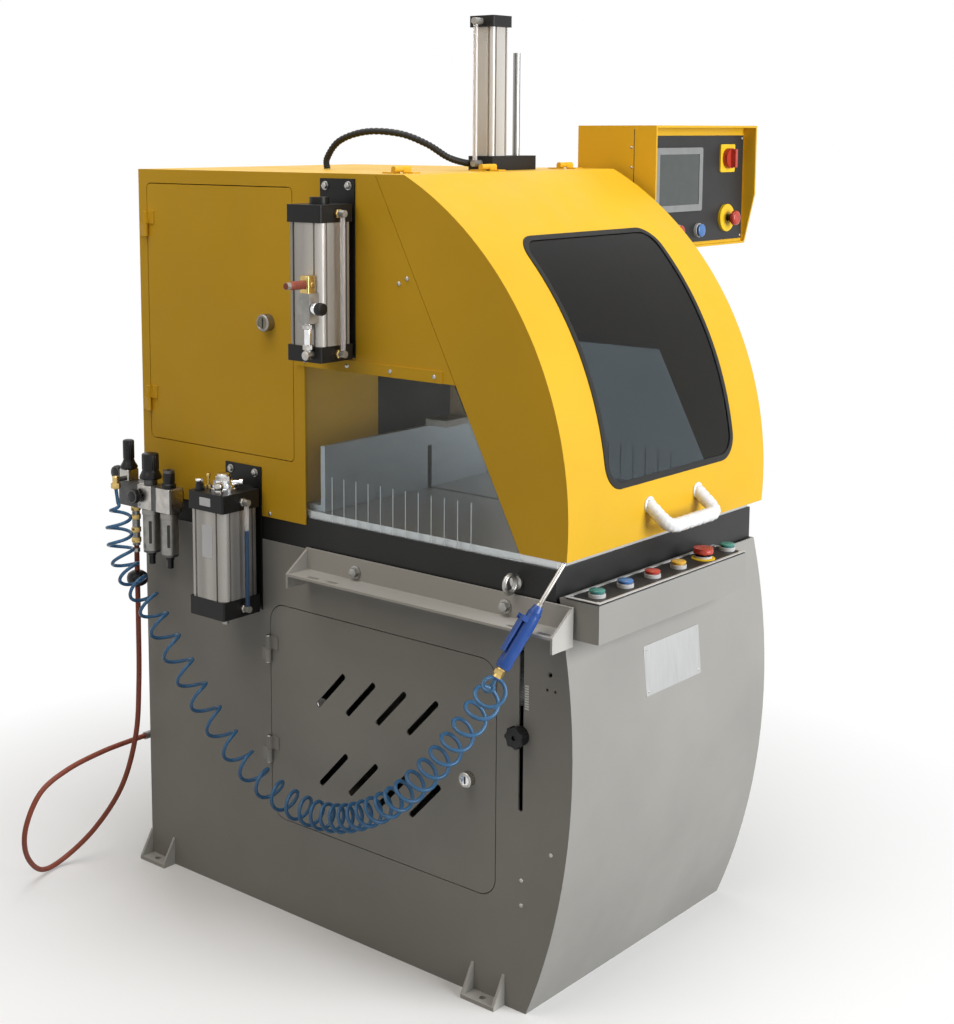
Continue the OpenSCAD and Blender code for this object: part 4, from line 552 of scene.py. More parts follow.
class SAW_OT_finishes(bpy.types.Operator):
    """Make every finish and give it to the solids that stay in view."""

    bl_idname = "saw.finishes"
    bl_label = "Finishes"

    def execute(self, context):
        c = context.scene.saw_colours
        FINISH.update({
            "yellow": painted("yellow_powder_paint", c.yellow, 0.42, 0.1, 0.05),
            "grey": painted("grey_hammer_paint", c.grey, 0.46, 0.14, 0.07),
            "tray": painted("tray_paint", shade(c.grey, 1.5), 0.4),
            "box": painted("light_grey_paint", shade(c.grey, 0.98), 0.42, 0.12, 0.05),
            "black": painted("black_deck_paint", c.black, 0.42, 0.16, 0.15),
            "hinge": two_paints("hinge_paint", c.grey, c.yellow, 0.8),
            "steel": brushed("ground_steel", (0.58, 0.59, 0.59), 0.44, (40, 1, 1)),
            "fence": brushed("anodised_fence", (0.34, 0.38, 0.41), 0.45, (1, 1, 3), 12, 0.7),
            "blade": brushed("blade_steel", (0.62, 0.63, 0.64), 0.22, (1, 1, 20)),
            # Barrels carry painted reflection as light and dark bands in their colour
            "barrel": drawn("drawn_aluminium_painted_reflections", (0.46, 0.445, 0.42), 0.34),
            "rod": brushed("ground_rods", (0.33, 0.33, 0.32), 0.34, (40, 40, 1)),
            "bare": brushed("bare_plate", (0.45, 0.45, 0.45), 0.55, (40, 1, 1), 20, 0.6),
            "caps": painted("black_end_caps", (0.014, 0.014, 0.014), 0.36, 0.1, 0.15),
            "black_plastic": moulded("black_moulded", (0.009, 0.009, 0.0095), 0.3, 0.08),
            "rubber": moulded("black_rubber", (0.007, 0.007, 0.0065), 0.42, 0.1),
            "chrome": cast("bright_chrome", (0.82, 0.82, 0.83), 0.16, 1.0),
            "satin": cast("satin_nickel", (0.46, 0.44, 0.41), 0.32, 1.0),
            "zinc": cast("zinc_screws", (0.4, 0.39, 0.37), 0.34, 1.0),
            "brass": cast("plain_brass", (0.6, 0.43, 0.16), 0.3, 1.0),
            "valve": cast("valve_casting", (0.36, 0.355, 0.335), 0.38, 0.55),
            # Dark satin metal; its olive tint is painted reflection of the yellow housing
            "knob": cast("latch_knob_painted_yellow_reflection", (0.17, 0.155, 0.11), 0.36, 0.9),
            "unit": cast("air_unit_casting", (0.11, 0.11, 0.11), 0.45, 0.7),
            "bowl": cast("bowl_guard", (0.29, 0.28, 0.26), 0.4, 0.9),
            "slot": moulded("sight_slot", (0.012, 0.011, 0.01), 0.2, 0.0, 0.4),
            "motor": painted("motor_paint", (0.05, 0.09, 0.16), 0.4),
            "curtain": see_through("curtain_film", (0.93, 0.95, 0.95), 0.06, 0.98, 1.06),
            "slit": moulded("curtain_slit", (0.7, 0.78, 0.84), 0.3, 0.02),
            "tube": part_filled("sight_tube", (0.1, 0.2, 0.36), (0.93, 0.9, 0.89), 0.87),
            "window": see_through("tinted_pane", (0.07, 0.086, 0.096), 0.03, 0.96, 1.2, 0.02),
            "film": moulded("film_wrap", (0.78, 0.79, 0.8), 0.2, 0.05, 0.5),
            "panel": painted("panel_paint", (0.6, 0.6, 0.58), 0.45),
            # Painted shade: a near-black sheet that darkens the bay's wall where the hood's inside
            # lies in shade
            "sheet": painted("painted_bay_shade", (0.03, 0.03, 0.028), 0.55, 0.06, 0.1),
            "label_yellow": moulded("yellow_plate", (0.84, 0.55, 0.02), 0.4, 0.03),
            "bezel": moulded("screen_bezel", (0.24, 0.245, 0.245), 0.42, 0.05),
            "glass": moulded("screen_glass", (0.055, 0.065, 0.063), 0.2, 0.0, 0.3),
            "ruled": ruled("stroke_scale", 0.005),
            "gun": moulded("gun_body", (0.015, 0.07, 0.3), 0.34, 0.06, 0.2),
            "rim": painted("light_edge", (0.55, 0.55, 0.55), 0.4, 0.05, 0.03),
            "hose": moulded("rubber_hose", c.hose, 0.5, 0.25),
            "coil": see_through("curled_tube", c.coil, 0.22, 0.35, 1.35),
            "sleeve": moulded("loom_sleeve", (0.013, 0.013, 0.013), 0.5, 0.1),
        })
        for finish, name, colour in (
                ("teal", "teal", (0.045, 0.22, 0.2)), ("blue", "blue", (0.06, 0.17, 0.42)),
                ("red", "red", (0.46, 0.045, 0.025)), ("amber", "yellow", (0.75, 0.44, 0.05)),
                ("green", "green", (0.05, 0.24, 0.21))):
            FINISH[finish] = moulded(name + "_button_cap", colour, 0.3, 0.03, 0.3)
        for finish, names in WEAR.items():
            for name in names.split():
                NODES[name].data.materials.clear()
                NODES[name].data.materials.append(FINISH[finish])
        return {"FINISHED"}


class SAW_OT_hoses(bpy.types.Operator):
    """Sweep the air hose with its knob, the curled hose and the loom along their routes."""

    bl_idname = "saw.hoses"
    bl_label = "Hoses and loom"

    def execute(self, context):
        sizes = context.scene.saw_sizes
        self.air_hose(sizes)
        self.curled_hose(sizes)
        self.loom(sizes)
        return {"FINISHED"}

    def air_hose(self, sizes):
        path = smooth_route(AIR_ROUTE, np.linspace(0, 1, HOSE_RINGS)) * MM
        hose = swept("air_hose_tube", path, (0.3, 1.0, 0.2), sizes.hose_d / 2, 24, "hose")
        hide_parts("air_hose")
        knob = [(0, 9), (1.5, 14), (6, 21), (13, 24), (22, 24), (29, 21), (34, 14), (36, 9)]
        turned("hose_knob", (-420, 491, 680), UP, knob, *BLACK, 44)

    def curled_hose(self, sizes):
        """A circle carried along the route: turns run evenly, and a sine wave draws them apart."""
        share = np.linspace(0, 1, sizes.curls * CURL_STEPS + 1)
        phase = FULL_TURN * (share + 0.5 - COIL_BOTTOM)
        along = share + COIL_STRETCH * (np.sin(phase) - math.sin(phase[0])) / FULL_TURN
        line = smooth_route(COIL_ROUTE, along) * MM
        n, b = frame_of(line, np.array(RIGHT))
        rise = np.clip(np.minimum(share, 1 - share) / COIL_END, 0, 1)
        rise = rise * rise * (3 - 2 * rise)
        turn = FULL_TURN * sizes.curls * share
        out = np.cos(turn)[:, None] * n + np.sin(turn)[:, None] * b
        curl = line + sizes.coil_r * rise[:, None] * out
        path = np.concatenate([np.array([COIL_START]) * MM, curl, np.array([GUN_TAIL]) * MM])
        refs = np.concatenate([out[:1], out, out[-1:]])
        coil = swept("coil_hose_tube", path, refs, sizes.coil_d / 2, 12, "coil")
        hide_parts("coil_hose")
        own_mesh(coil)

    def loom(self, sizes):
        path = smooth_route(LOOM_ROUTE, np.linspace(0, 1, LOOM_RINGS)) * MM
        ribs = sizes.loom_d / 2 * (0.94 + 0.06 * np.sign(np.sin(np.arange(len(path)) * 1.3)))
        loom = swept("loom_sleeve", path, (1.0, 0.2, 0.1), ribs[:, None], 20, "sleeve")
        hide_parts("top_loom")


class SAW_OT_handle(bpy.types.Operator):
    """Bend the hood's grip from one tube in creased film, with a round flange at each foot."""

    bl_idname = "saw.handle"
    bl_label = "Hood handle"

    def execute(self, context):
        sides = 24
        corners = [(-GRIP_HALF, *GRIP_FOOT), (-GRIP_HALF, *GRIP_BAR), (GRIP_HALF, *GRIP_BAR),
                   (GRIP_HALF, *GRIP_FOOT)]
        path, far = even_path(rounded_path(corners, GRIP_BEND), 150)
        a = np.linspace(0, FULL_TURN, sides, endpoint=False)
        creases = sum(high * np.sin(far[:, None] / long + turns * a)
                      for high, long, turns in CREASES)
        grip = swept("handle_tube", path * MM, (0.0, 0.62, -0.78), (GRIP_RADIUS + creases) * MM,
                     sides, "film", "hood")
        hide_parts("hood_handle")
        feet = [(x, -669.2, 986) for x in (-GRIP_HALF, GRIP_HALF)]
        turned("handle_flanges", feet, FRONT, [(0, 17), (2.2, 17), (3.4, 15.8), (3.8, 13)], "film",
               "handle_film", body="hood")
        return {"FINISHED"}


class SAW_OT_fasteners(bpy.types.Operator):
    """Screws, rivets, bolts and pins on the panels, brackets and hinges."""

    bl_idname = "saw.fasteners"
    bl_label = "Screws and bolts"

    def execute(self, context):
        pan = [(-0.4, 4.8), (0.6, 4.8), (1.8, 4.2), (2.6, 2.8), (3.0, 1.0)]
        small = [(-0.3, 3.2), (0.5, 3.2), (1.3, 2.6), (1.8, 1.2)]
        washer = [(-0.3, 9), (1.4, 9), (1.8, 8.6)]
        head = [(1.4, 6.8), (5.6, 6.8), (6.4, 5.6)]
        pin = [(-1, 3.4), (0.3, 3.4), (0.3, 5.4), (1.8, 5.4), (3, 4.2), (3.4, 2)]
        rails = [(y, 1238) for y in (5, -116, -233, -348)]
        panel = [(-254, 1414), (-275, 1425), (116, 895), (-570, 272), (-570, 221), (-640, 344)]
        brackets = [(-122, 1603), (-58, 1602), (158, 980), (234, 980)]
        console = [(x, CONSOLE_FRONT, z) for x in (394, 806) for z in (1460, 1694)]
        box = [(x, y, BOX_TOP) for x in (-344, 165) for y in (-727, -669)]
        bolts = self.at(-363.25, brackets)
        for name, places, direction, profile, sides in (
                ("rail_screws_left", self.at(-363, rails), LEFT, pan, 20),
                ("rail_screws_right", self.at(363, rails), RIGHT, pan, 20),
                ("side_screws", self.at(LEFT_FACE, panel), LEFT, pan, 20),
                ("bracket_washers", bolts, LEFT, washer, 28),
                ("bracket_heads", bolts, LEFT, head, 6),
                ("hinge_pin_tops", self.at(-367, [(118, 397), (118, 624)]), UP, pin, 24),
                ("hinge_pin_ends", self.at(-367, [(118, 340), (118, 567)]), DOWN, pin, 24),
                ("console_rivets", self.at(CONSOLE_SIDE, [(-301, 1675), (-302, 1630)]), LEFT,
                 small, 16),
                ("console_plate_screws", console, FRONT, small, 16),
                ("box_plate_screws", box, UP, small, 16)):
            turned(name, places, direction, profile, *ZINC, sides)
        return {"FINISHED"}

    def at(self, x, spots):
        """Places on a side face from their y and z."""
        return [(x, y, z) for y, z in spots]


class SAW_OT_plates(bpy.types.Operator):
    """Bare plates, stroke scale, the bay's dark sheet of painted shade, curtain slits and the
    console's seam.
    """

    bl_idname = "saw.plates"
    bl_label = "Plates and strips"

    def execute(self, context):
        middle_y, middle_z, radius = BOW
        thick = 0.9
        bowed_plate("name_plate", -6, 653, (102, 51), thick, 3, "bare")
        rivets = [(x, middle_y - math.sqrt((radius + thick) ** 2 - (z - middle_z) ** 2), z)
                  for x in (-99, 87) for z in (611, 695)]
        head = [(-0.8, 2.4), (0.3, 2.4), (0.9, 1.8), (1.2, 0.8)]
        turned("name_plate_rivets", rivets, FRONT, head, *ZINC, 16)
        for name, at, across, half, thick, corner, finish, slot in (
                ("stroke_scale", (-360.1, -579, 642), FRONT, (4.5, 25), 0.5, 1, "ruled",
                 "panel_grey"),
                ("tank_plate", (-481.6, 183, 845), FRONT, (16, 36), 0.6, 3, "bare", "panel_grey"),
                ("cap_plate", (-483, 187, 931), FRONT, (17, 9), 0.5, 1, "bare", "panel_grey"),
                # The bay's sheet is painted shade, a dark plate on the wall inside the shaded hood
                ("bay_shade_sheet", (129, 62, 1112), RIGHT, (200, 186), 1.2, 2, "sheet", "black_plate")):
            plate(name, at, across, UP, half, thick, corner, finish, slot)
        slits = np.linspace(-437, -66, 12)
        for name, x, across in (("slits_left", -356.5, FRONT), ("slits_right", 356.5, BACK)):
            places = np.stack([np.full(12, x), slits, np.full(12, 952.0)], -1)
            plate(name, places, across, UP, (1.1, 47.5), 0.25, 0.5, "slit", "clear_sheet", 0.1)
        plate("console_seam", (CONSOLE_SIDE, -309, 1590), FRONT, UP, (0.9, 126), 0.3, 0.4, "slot",
              "black_plate")
        return {"FINISHED"}


class SAW_OT_controls(bpy.types.Operator):
    """Bezels, caps, rings and plates of the push buttons, the stops, the switch and the screen."""

    bl_idname = "saw.controls"
    bl_label = "Controls"

    def execute(self, context):
        bezel = [(0, 16.4), (6.5, 16.4), (7.15, 15.7), (7.15, 12.6), (0, 12.6)]
        self.box(bezel)
        self.console(bezel)
        return {"FINISHED"}

    def box(self, bezel):
        """Row of controls on the push-button box, the stop fifth."""
        first, pitch, y = -311, 94, -702
        row = [(first + pitch * i, y, BOX_TOP) for i in range(6)]
        stop = row.pop(4)
        turned("button_bezels", row, UP, bezel, "rim", "latch_chrome", 36, loop=True)
        collar = [(0, 24), (1.6, 24), (2.2, 23), (2.2, 8.5), (0, 8.5)]
        turned("stop_ring", stop, UP, collar, "label_yellow", "yellow_plastic", loop=True)
        column = [(0, 17.4), (6.4, 17.4), (7, 16.6), (7, 8.5), (0, 8.5)]
        turned("stop_column", stop, UP, column, "rim", "panel_grey", loop=True)
        rim("box_edge", (-89.5, -698, BOX_TOP), RIGHT, BACK, rounded_outline(264.5, 39, 3),
            rounded_outline(257.5, 33, 2), 1.4, "rim")
        colours = ("teal", "blue", "red", "yellow", "green")
        finishes = ("teal", "blue", "red", "amber", "green")
        for colour, finish, (x, y, z) in zip(colours, finishes, row):
            self.cap(colour + "_button", finish, colour + "_plastic", (x, y, z + 14), UP)
        self.mushroom("stop_button", (*stop[:2], BOX_TOP + 12), UP, 20.4)

    def console(self, bezel):
        """Controls on the console's front."""
        y = CONSOLE_FRONT
        turned("console_bezels", [(520, y, 1480), (610, y, 1480)], FRONT, bezel, "rim",
               "latch_chrome", 36, loop=True)
        self.cap("console_red_button", "red", "red_plastic", (520, y - 14, 1480), FRONT)
        self.cap("console_blue_button", "blue", "blue_plastic", (610, y - 14, 1480), FRONT)
        disc = [(0, 33), (6.2, 33), (7.3, 32), (7.6, 8.5), (0, 8.5)]
        turned("console_stop_disc", (735, y, 1505), FRONT, disc, "label_yellow", "yellow_plastic",
               44, loop=True)
        self.mushroom("console_stop", (735, y - 24, 1505), FRONT, 17.6)
        stem = [(-2, 7), (16.4, 7), (17, 11), (24, 11)]
        stem = turned("console_stop_stem", (735, y, 1505), FRONT, stem, *BLACK, 36, "console_stop")
        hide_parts("console_stop")
        outer = rounded_outline(33, 33, 4)
        angle = np.arctan2(outer[:, 1], outer[:, 0])
        inner = 24.6 * np.stack([np.cos(angle), np.sin(angle)], -1)
        rim("switch_plate", (735, y, 1647), RIGHT, UP, outer, inner, 3.9, "label_yellow")
        plate("screen_glass", (515, -344.8, 1600), RIGHT, UP, (84.5, 58), 0.4, 1, "glass",
              "screen")

    def cap(self, body, finish, slot, at, direction):
        """Slightly domed cap over a push button's end."""
        dome = [(-4.2, 14.6), (-3.7, 15.3), (-1, 15.3), (0.2, 14.2), (0.9, 11), (1.3, 6), (1.4, 1)]
        turned(body + "_cap", at, direction, dome, finish, slot, 36, body)

    def mushroom(self, body, at, direction, r):
        """Mushroom head over a stop button: a rounded rim and a shallow dish."""
        head = [(-0.4, r - 2), (0.6, r), (6, r), (9, r - 1.2), (11, r - 4), (11.6, r - 8),
                (11.2, r * 0.4), (11.0, 1)]
        turned(body + "_head", at, direction, head, "red", "red_plastic", 44, body)


class SAW_OT_latches(bpy.types.Operator):
    """Rims and keyways of the two door latches."""

    bl_idname = "saw.latches"
    bl_label = "Door latches"

    def execute(self, context):
        for body, at, r, out, finish in (
                ("electrical_latch", (-360.3, 114, 1310), 18, 18.4, "bowl"),
                ("cabinet_latch", (-360.3, -439, 445), 15, 14.4, "satin")):
            ring = [(0.2, r + 0.5), (out - 1, r + 0.5), (out + 0.8, r - 1.5), (out + 0.8, r - 4),
                    (out - 0.6, r - 5), (0.2, r - 5)]
            turned(body + "_rim", at, LEFT, ring, finish, "latch_chrome", 44, body, loop=True)
            plate(body + "_key", (at[0] - out + 0.2, *at[1:]), FRONT, UP, (1.6, r - 7), 0.9, 1,
                  "slot", "black_plastic", body=body)
        return {"FINISHED"}


class SAW_OT_air_unit(bpy.types.Operator):
    """Heads, bowls, bell knobs, gauges and brass of the air unit."""

    bl_idname = "saw.air_unit"
    bl_label = "Air unit"

    def execute(self, context):
        x, main, oiler, small, hose = -420, 437, 375, 512, 491
        plate("unit_heads", [(x, main, 871), (x, oiler, 871)], RIGHT, BACK, (22, 26), 54.6, 8,
              "satin", "unit_metal", 3)
        plate("small_head", (x, small, 924), RIGHT, BACK, (17, 16), 27, 5, "satin", "unit_metal", 2)
        guard = [(0, 12), (1.2, 15.4), (4.5, 18.4), (9, 19.5), (88, 19.5), (89, 21), (101, 21)]
        turned("bowl_guards", [(x, main, 768), (x, oiler, 768)], UP, guard, "bowl", "unit_metal",
               44)
        toward, beside = np.array((-0.76, -0.65, 0.0)), np.array((0.65, -0.76, 0.0))
        faces = [(y, side) for y in (main, oiler) for side in (1, -1)]
        for k, (y, side) in enumerate(faces):
            plate("bowl_slot_%d" % k, np.array((x, y, 818)) + 19.45 * side * toward, side * beside,
                  UP, (3.4, 26), 0.35, 2, "slot", "black_plastic", 0.1)
        drain = [(0, 5), (1, 7.4), (20, 7.4), (21, 9.6), (28, 9.6)]
        turned("bowl_drains", [(x, main, 741), (x, oiler, 741)], UP, drain, *BLACK, 28)
        bell = [(0, 24), (2, 25.5), (6, 25), (14, 21), (19, 18.8), (22, 18.4)]
        knob = turned("regulator_bell", (x, main, 938), UP, bell, *BLACK, 44, "regulator_knob")
        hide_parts("regulator_knob")
        grip = [(0, 18), (1, 19), (32, 19), (35.5, 18), (37, 15), (37.4, 4)]
        turned("regulator_grip", (x, main, 959), UP, grip, *BLACK, 96, "regulator_knob", 24, 0.02)
        bell = [(0, 19), (2, 20.5), (5, 20), (14, 14.5), (20, 12.4), (23, 12)]
        knob = turned("small_bell", (x, small, 952), UP, bell, *BLACK, 40, "small_regulator_knob")
        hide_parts("small_regulator_knob")
        grip = [(0, 12), (1, 12.7), (39, 12.7), (42, 12), (43.6, 9), (44, 3)]
        turned("small_grip", (x, small, 974), UP, grip, *BLACK, 80, "small_regulator_knob", 20,
               0.025)
        cap = [(0, 16), (8, 16), (10, 13.6), (32, 13.6), (38, 12), (41, 7), (42, 2)]
        turned("oiler_cap", (x, oiler, 925), UP, cap, *BLACK)
        gauge = [(0, 8), (0.6, 14), (2.5, 16.5), (10, 16.5), (13, 15.6), (14.6, 12), (15.4, 6),
                 (15.6, 1)]
        turned("unit_gauges", [(-446.6, 455, 900), (-419.6, 545, 938)], LEFT, gauge, *BLACK, 44)
        sleeve = [(0, 6), (1, 7.6), (12, 7.6), (28, 7.6), (30, 5)]
        turned("outlet_sleeve", (-465, 505, 911), UP, sleeve, *BRASS, 28)
        nuts = [(-465, 505, 913)] + [(x, hose, z) for z in (782, 806, 836, 856)]
        turned("brass_nuts", nuts, UP, [(0, 10.4), (1, 11.2), (11, 11.2), (12, 10.4)], *BRASS, 6)
        turned("hose_clip", (x, hose, 760), UP, [(0, 6.6), (0.3, 8), (8.7, 8), (9, 6.6)], *ZINC, 32)
        return {"FINISHED"}


class SAW_OT_tanks(bpy.types.Operator):
    """Fillers, valve fittings and nuts on the two tanks."""

    bl_idname = "saw.tanks"
    bl_label = "Tank fittings"

    def execute(self, context):
        self.lower_tank()
        self.upper_tank()
        nut = [(0, 8.6), (1, 9.4), (8, 9.4), (9, 8.6)]
        up, low = [(-422, -154, z) for z in (1272, 1550.5)], [(-429, 123, z) for z in (698, 930.5)]
        turned("sight_nuts_up", up, BACK, nut, *BRASS, 6)
        turned("sight_nuts_low", low, BACK, nut, "satin", "brass", 6)
        return {"FINISHED"}

    def lower_tank(self):
        """Filler with its nut and arm, plug, port and pin on the cap."""
        steel = "bright_steel"
        x, y = -429, 186.5
        filler = [(0, 32), (5, 32), (6.5, 29), (13, 29), (14, 22), (22, 22), (23, 14), (34, 14),
                  (36, 11)]
        nut = [(0, 17), (1, 18), (8, 18), (9, 17)]
        arm = [(20, 5), (34, 5), (35, 7.5), (42, 7.5), (43, 5)]
        plug = [(0, 9), (4, 9), (6, 7), (9, 9.5), (14, 10.5), (19, 9), (22, 4)]
        port = [(0, 11), (5, 11), (6, 9), (14, 9), (15, 7.5), (20, 7.5), (21, 5)]
        ring = [(0, 8.4), (1, 9), (4, 9), (5, 8)]
        pin = [(0, 7), (8, 7), (9, 3), (26, 3), (27, 4.6), (31, 4.6), (33, 2)]
        turned("filler", (x, y, TANK_TOP), UP, filler, "chrome", steel, 44)
        turned("filler_nut", (x, y, TANK_TOP + 21), UP, nut, "satin", steel, 6)
        turned("filler_arm", (x, y, TANK_TOP + 16), (0.6, -0.8, 0), arm, "chrome", steel, 24)
        turned("filler_plug", (-462, 166, TANK_TOP), UP, plug, "satin", steel, 28)
        turned("tank_port", (-466, 222, TANK_TOP), UP, port, *BLACK, 32)
        turned("port_ring", (-466, 222, TANK_TOP + 20), UP, ring, "chrome", steel, 32)
        turned("bleed_pin", (-440, 222, TANK_TOP), UP, pin, *BRASS, 24)

    def upper_tank(self):
        """Pipe, elbow and nuts up to the flow valve, with its cross, sleeve and knob."""
        x, y, cross_z = -480.75, -121, 1413
        knob_at = (x, -138.6, 1366)
        turned("valve_pipe", (x, y, 1282), UP, [(0, 7), (1, 7.5), (52, 7.5), (54, 7)], "chrome",
               "bright_steel", 28)
        turned("valve_elbow", (-490.8, y, 1272), RIGHT, [(0, 7), (1.5, 9.4), (21, 9.4)], "satin",
               "bright_steel", 28)
        nut = [(0, 10), (1, 11), (9, 11), (10, 10)]
        turned("valve_nuts", [(x, y, 1283), (x, y, 1324)], UP, nut, "satin", "brass", 6)
        plate("valve_cross", (x, y, 1395), RIGHT, BACK, (11.6, 11.6), 35.6, 4, *BRASS, 2)
        plug = [(-16, 5), (-15, 6.4), (15, 6.4), (16, 5)]
        turned("cross_plugs", (x, y, cross_z), FRONT, plug, *BRASS, 6)
        rib = ((0, 7.4), (1, 8.8), (3.4, 8.8), (4.4, 7.4))
        ribs = [(9 + 5 * k + d, r) for k in range(7) for d, r in rib]
        turned("stub_sleeve", (x, y, cross_z), LEFT, ribs + [(60.4, 6.5)], "hose", "hose_rubber",
               28)
        collar = [(0, 9), (1, 12.2), (2, 12.8), (9, 12.8), (10, 12.2)]
        turned("flow_collar", knob_at, FRONT, collar, "chrome", "bright_steel", 36, "flow_knob")
        grip = [(9.5, 10), (10, 11.6), (11.5, 12.4), (22, 12.4), (25, 11.6), (26, 8), (26.3, 2)]
        turned("flow_grip", knob_at, FRONT, grip, *BLACK, 80, "flow_knob", 20, 0.03)


class SAW_OT_gun(bpy.types.Operator):
    """Moulded grip, steel nozzle and brass tail over the blow gun."""

    bl_idname = "saw.gun"
    bl_label = "Blow gun"

    def execute(self, context):
        way = np.array(GUN_TIP, float) - np.array(GUN_TAIL, float)
        grip = [(20, 8), (22, 12.5), (30, 14.4), (48, 13.6), (66, 14.6), (84, 13.8), (102, 14.6),
                (122, 14.2), (138, 12.4), (150, 9.8), (153, 8.6)]
        nozzle = [(150, 6.4), (158, 6.4), (160, 4.5), (243, 4.5), (246, 3.2)]
        tail = [(1, 6), (2, 8.4), (21, 8.4), (22, 7)]
        nut = [(8, 9.2), (9, 10.2), (16, 10.2), (17, 9.2)]
        turned("gun_grip", GUN_TAIL, way, grip, "gun", "blue_plastic")
        turned("gun_nozzle", GUN_TAIL, way, nozzle, "satin", "bright_steel", 28)
        turned("gun_tail", GUN_TAIL, way, tail, *BRASS, 28)
        turned("gun_tail_nut", GUN_TAIL, way, nut, *BRASS, 6)
        return {"FINISHED"}


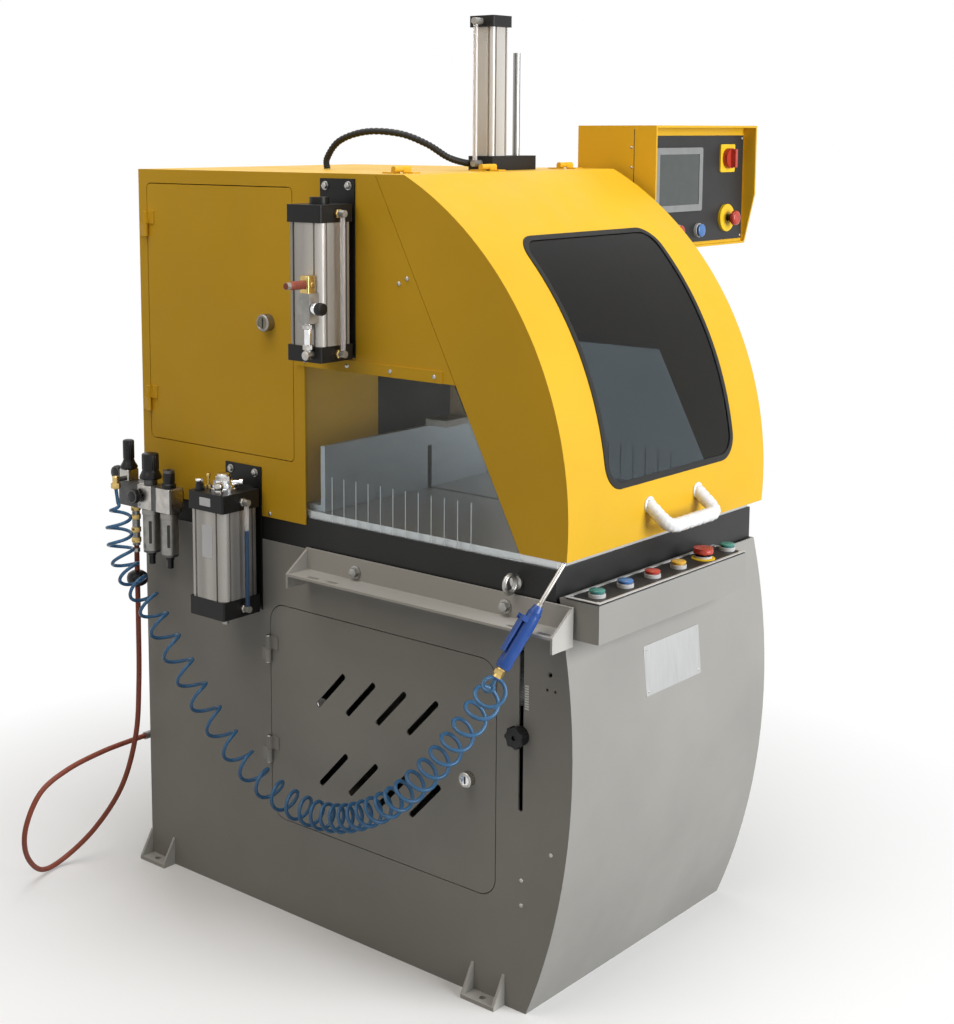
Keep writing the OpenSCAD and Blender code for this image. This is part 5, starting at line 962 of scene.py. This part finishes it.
class SAW_OT_stage(bpy.types.Operator):
    """Floor, soft lamps, white surround and the photograph's camera."""

    bl_idname = "saw.stage"
    bl_label = "Stage"

    def execute(self, context):
        scene = context.scene
        scene.view_settings.view_transform = "Standard"
        self.surround(scene)
        self.floor(scene)
        for name, lamp in LAMPS.items():
            self.lamp(scene, name, *lamp)
        self.camera(scene)
        return {"FINISHED"}

    def surround(self, scene):
        """A soft sky that lights the saw, and white wherever it is seen."""
        world = bpy.data.worlds.new("studio")
        scene.world = world
        world.use_nodes = True
        tree = world.node_tree
        tree.nodes.clear()
        sky = add(tree, "ShaderNodeBackground", {"Color": SKY, "Strength": SKY_STRENGTH})
        white = add(tree, "ShaderNodeBackground", {"Color": WHITE, "Strength": 1.0})
        mix = add(tree, "ShaderNodeMixShader", {
            "Fac": self.seen(tree), 1: sky.outputs[0], 2: white.outputs[0]})
        add(tree, "ShaderNodeOutputWorld", {"Surface": mix.outputs[0]})

    def joined(self, tree, operation, first, second):
        """Sum or product of two sockets, kept to one at most."""
        inputs = {0: first, 1: second}
        node = add(tree, "ShaderNodeMath", inputs, operation=operation, use_clamp=True)
        return node.outputs[0]

    def seen(self, tree):
        """One for camera, mirror and see-through rays, so that they meet the white surround."""
        rays = add(tree, "ShaderNodeLightPath", {}).outputs
        either = self.joined(tree, "ADD", rays["Is Camera Ray"], rays["Is Glossy Ray"])
        return self.joined(tree, "ADD", either, rays["Is Transmission Ray"])

    def floor(self, scene):
        """Pale floor that keeps the saw's shadow and fades to white away from it."""
        h = FLOOR_HALF
        mesh = bpy.data.meshes.new("floor")
        mesh.from_pydata([(-h, -h, 0), (h, -h, 0), (h, h, 0), (-h, h, 0)], [], [(0, 1, 2, 3)])
        obj = bpy.data.objects.new("floor", mesh)
        scene.collection.objects.link(obj)
        made = Finish("pale_floor")
        tree = made.tree
        seen = self.seen(tree)
        pale = add(tree, "ShaderNodeMix", {"Factor": seen, "A": FLOOR_LIT, "B": FLOOR_SEEN},
                   data_type="RGBA")
        made.set({"Base Color": pale.outputs["Result"], "Roughness": 0.7})
        far = add(tree, "ShaderNodeVectorMath", {0: made.place}, operation="LENGTH")
        fade = add(tree, "ShaderNodeMapRange", {
            "Value": far.outputs["Value"], "From Min": FLOOR_FADE[0], "From Max": FLOOR_FADE[1]})
        white = add(tree, "ShaderNodeEmission", {"Color": WHITE, "Strength": 1.0})
        mix = add(tree, "ShaderNodeMixShader", {
            "Fac": self.joined(tree, "MULTIPLY", fade.outputs["Result"], seen),
            1: made.shader.outputs[0], 2: white.outputs[0]})
        feed(tree, tree.nodes["Material Output"], {"Surface": mix.outputs[0]})
        mesh.materials.append(made.material)

    def lamp(self, scene, name, at, towards, size, power, colour):
        """A square soft lamp turned to its target."""
        light = bpy.data.lights.new(name, "AREA")
        light.color = colour
        light.shape = "SQUARE"
        light.size = size
        light.energy = power
        axes = axes_of(np.asarray(at, float) - np.asarray(towards, float))
        self.stand(scene, bpy.data.objects.new(name, light), axes, at)

    def camera(self, scene):
        """The camera that was solved from the photograph."""
        data = bpy.data.cameras.new("photo_camera")
        data.sensor_width = SENSOR
        data.lens = FOCAL_PX * SENSOR / max(PHOTO_PX)
        data.shift_x = (PHOTO_PX[0] / 2 - CENTRE_PX[0]) / max(PHOTO_PX)
        data.shift_y = (CENTRE_PX[1] - PHOTO_PX[1] / 2) / max(PHOTO_PX)
        data.clip_end = 100
        level = math.cos(CAMERA_PITCH)
        ahead = np.array((math.sin(CAMERA_YAW) * level, math.cos(CAMERA_YAW) * level,
                          math.sin(CAMERA_PITCH)))
        right = np.array((math.cos(CAMERA_YAW), -math.sin(CAMERA_YAW), 0.0))
        obj = bpy.data.objects.new("photo_camera", data)
        self.stand(scene, obj, (right, np.cross(right, ahead), -ahead), CAMERA_AT)
        scene.camera = obj

    def stand(self, scene, obj, axes, at):
        """Place a lamp or camera by its three axes and its point."""
        obj.matrix_world = Matrix(np.column_stack(axes).tolist()).to_4x4()
        obj.location = at
        scene.collection.objects.link(obj)


class SAW_PT_sidebar(bpy.types.Panel):
    """The saw's colours, sizes and pieces."""

    bl_idname = "SAW_PT_sidebar"
    bl_label = "Upcut saw"
    bl_space_type = "VIEW_3D"
    bl_region_type = "UI"
    bl_category = "Upcut saw"

    def draw(self, context):
        for group in (context.scene.saw_colours, context.scene.saw_sizes):
            for name in group.__annotations__:
                self.layout.prop(group, name)
        for operator in OPERATORS:
            self.layout.operator(operator.bl_idname)


OPERATORS = (SAW_OT_finishes, SAW_OT_hoses, SAW_OT_handle, SAW_OT_fasteners, SAW_OT_plates,
             SAW_OT_controls, SAW_OT_latches, SAW_OT_air_unit, SAW_OT_tanks, SAW_OT_gun,
             SAW_OT_stage)
CLASSES = (SawColours, SawSizes, *OPERATORS, SAW_PT_sidebar)


def register():
    for cls in CLASSES:
        bpy.utils.register_class(cls)
    bpy.types.Scene.saw_colours = bpy.props.PointerProperty(type=SawColours)
    bpy.types.Scene.saw_sizes = bpy.props.PointerProperty(type=SawSizes)


def unregister():
    del bpy.types.Scene.saw_sizes
    del bpy.types.Scene.saw_colours
    for cls in reversed(CLASSES):
        bpy.utils.unregister_class(cls)


def main():
    register()
    for operator in OPERATORS:
        group, name = operator.bl_idname.split(".")
        getattr(getattr(bpy.ops, group), name)()
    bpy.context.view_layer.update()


if __name__ == "__main__":
    main()
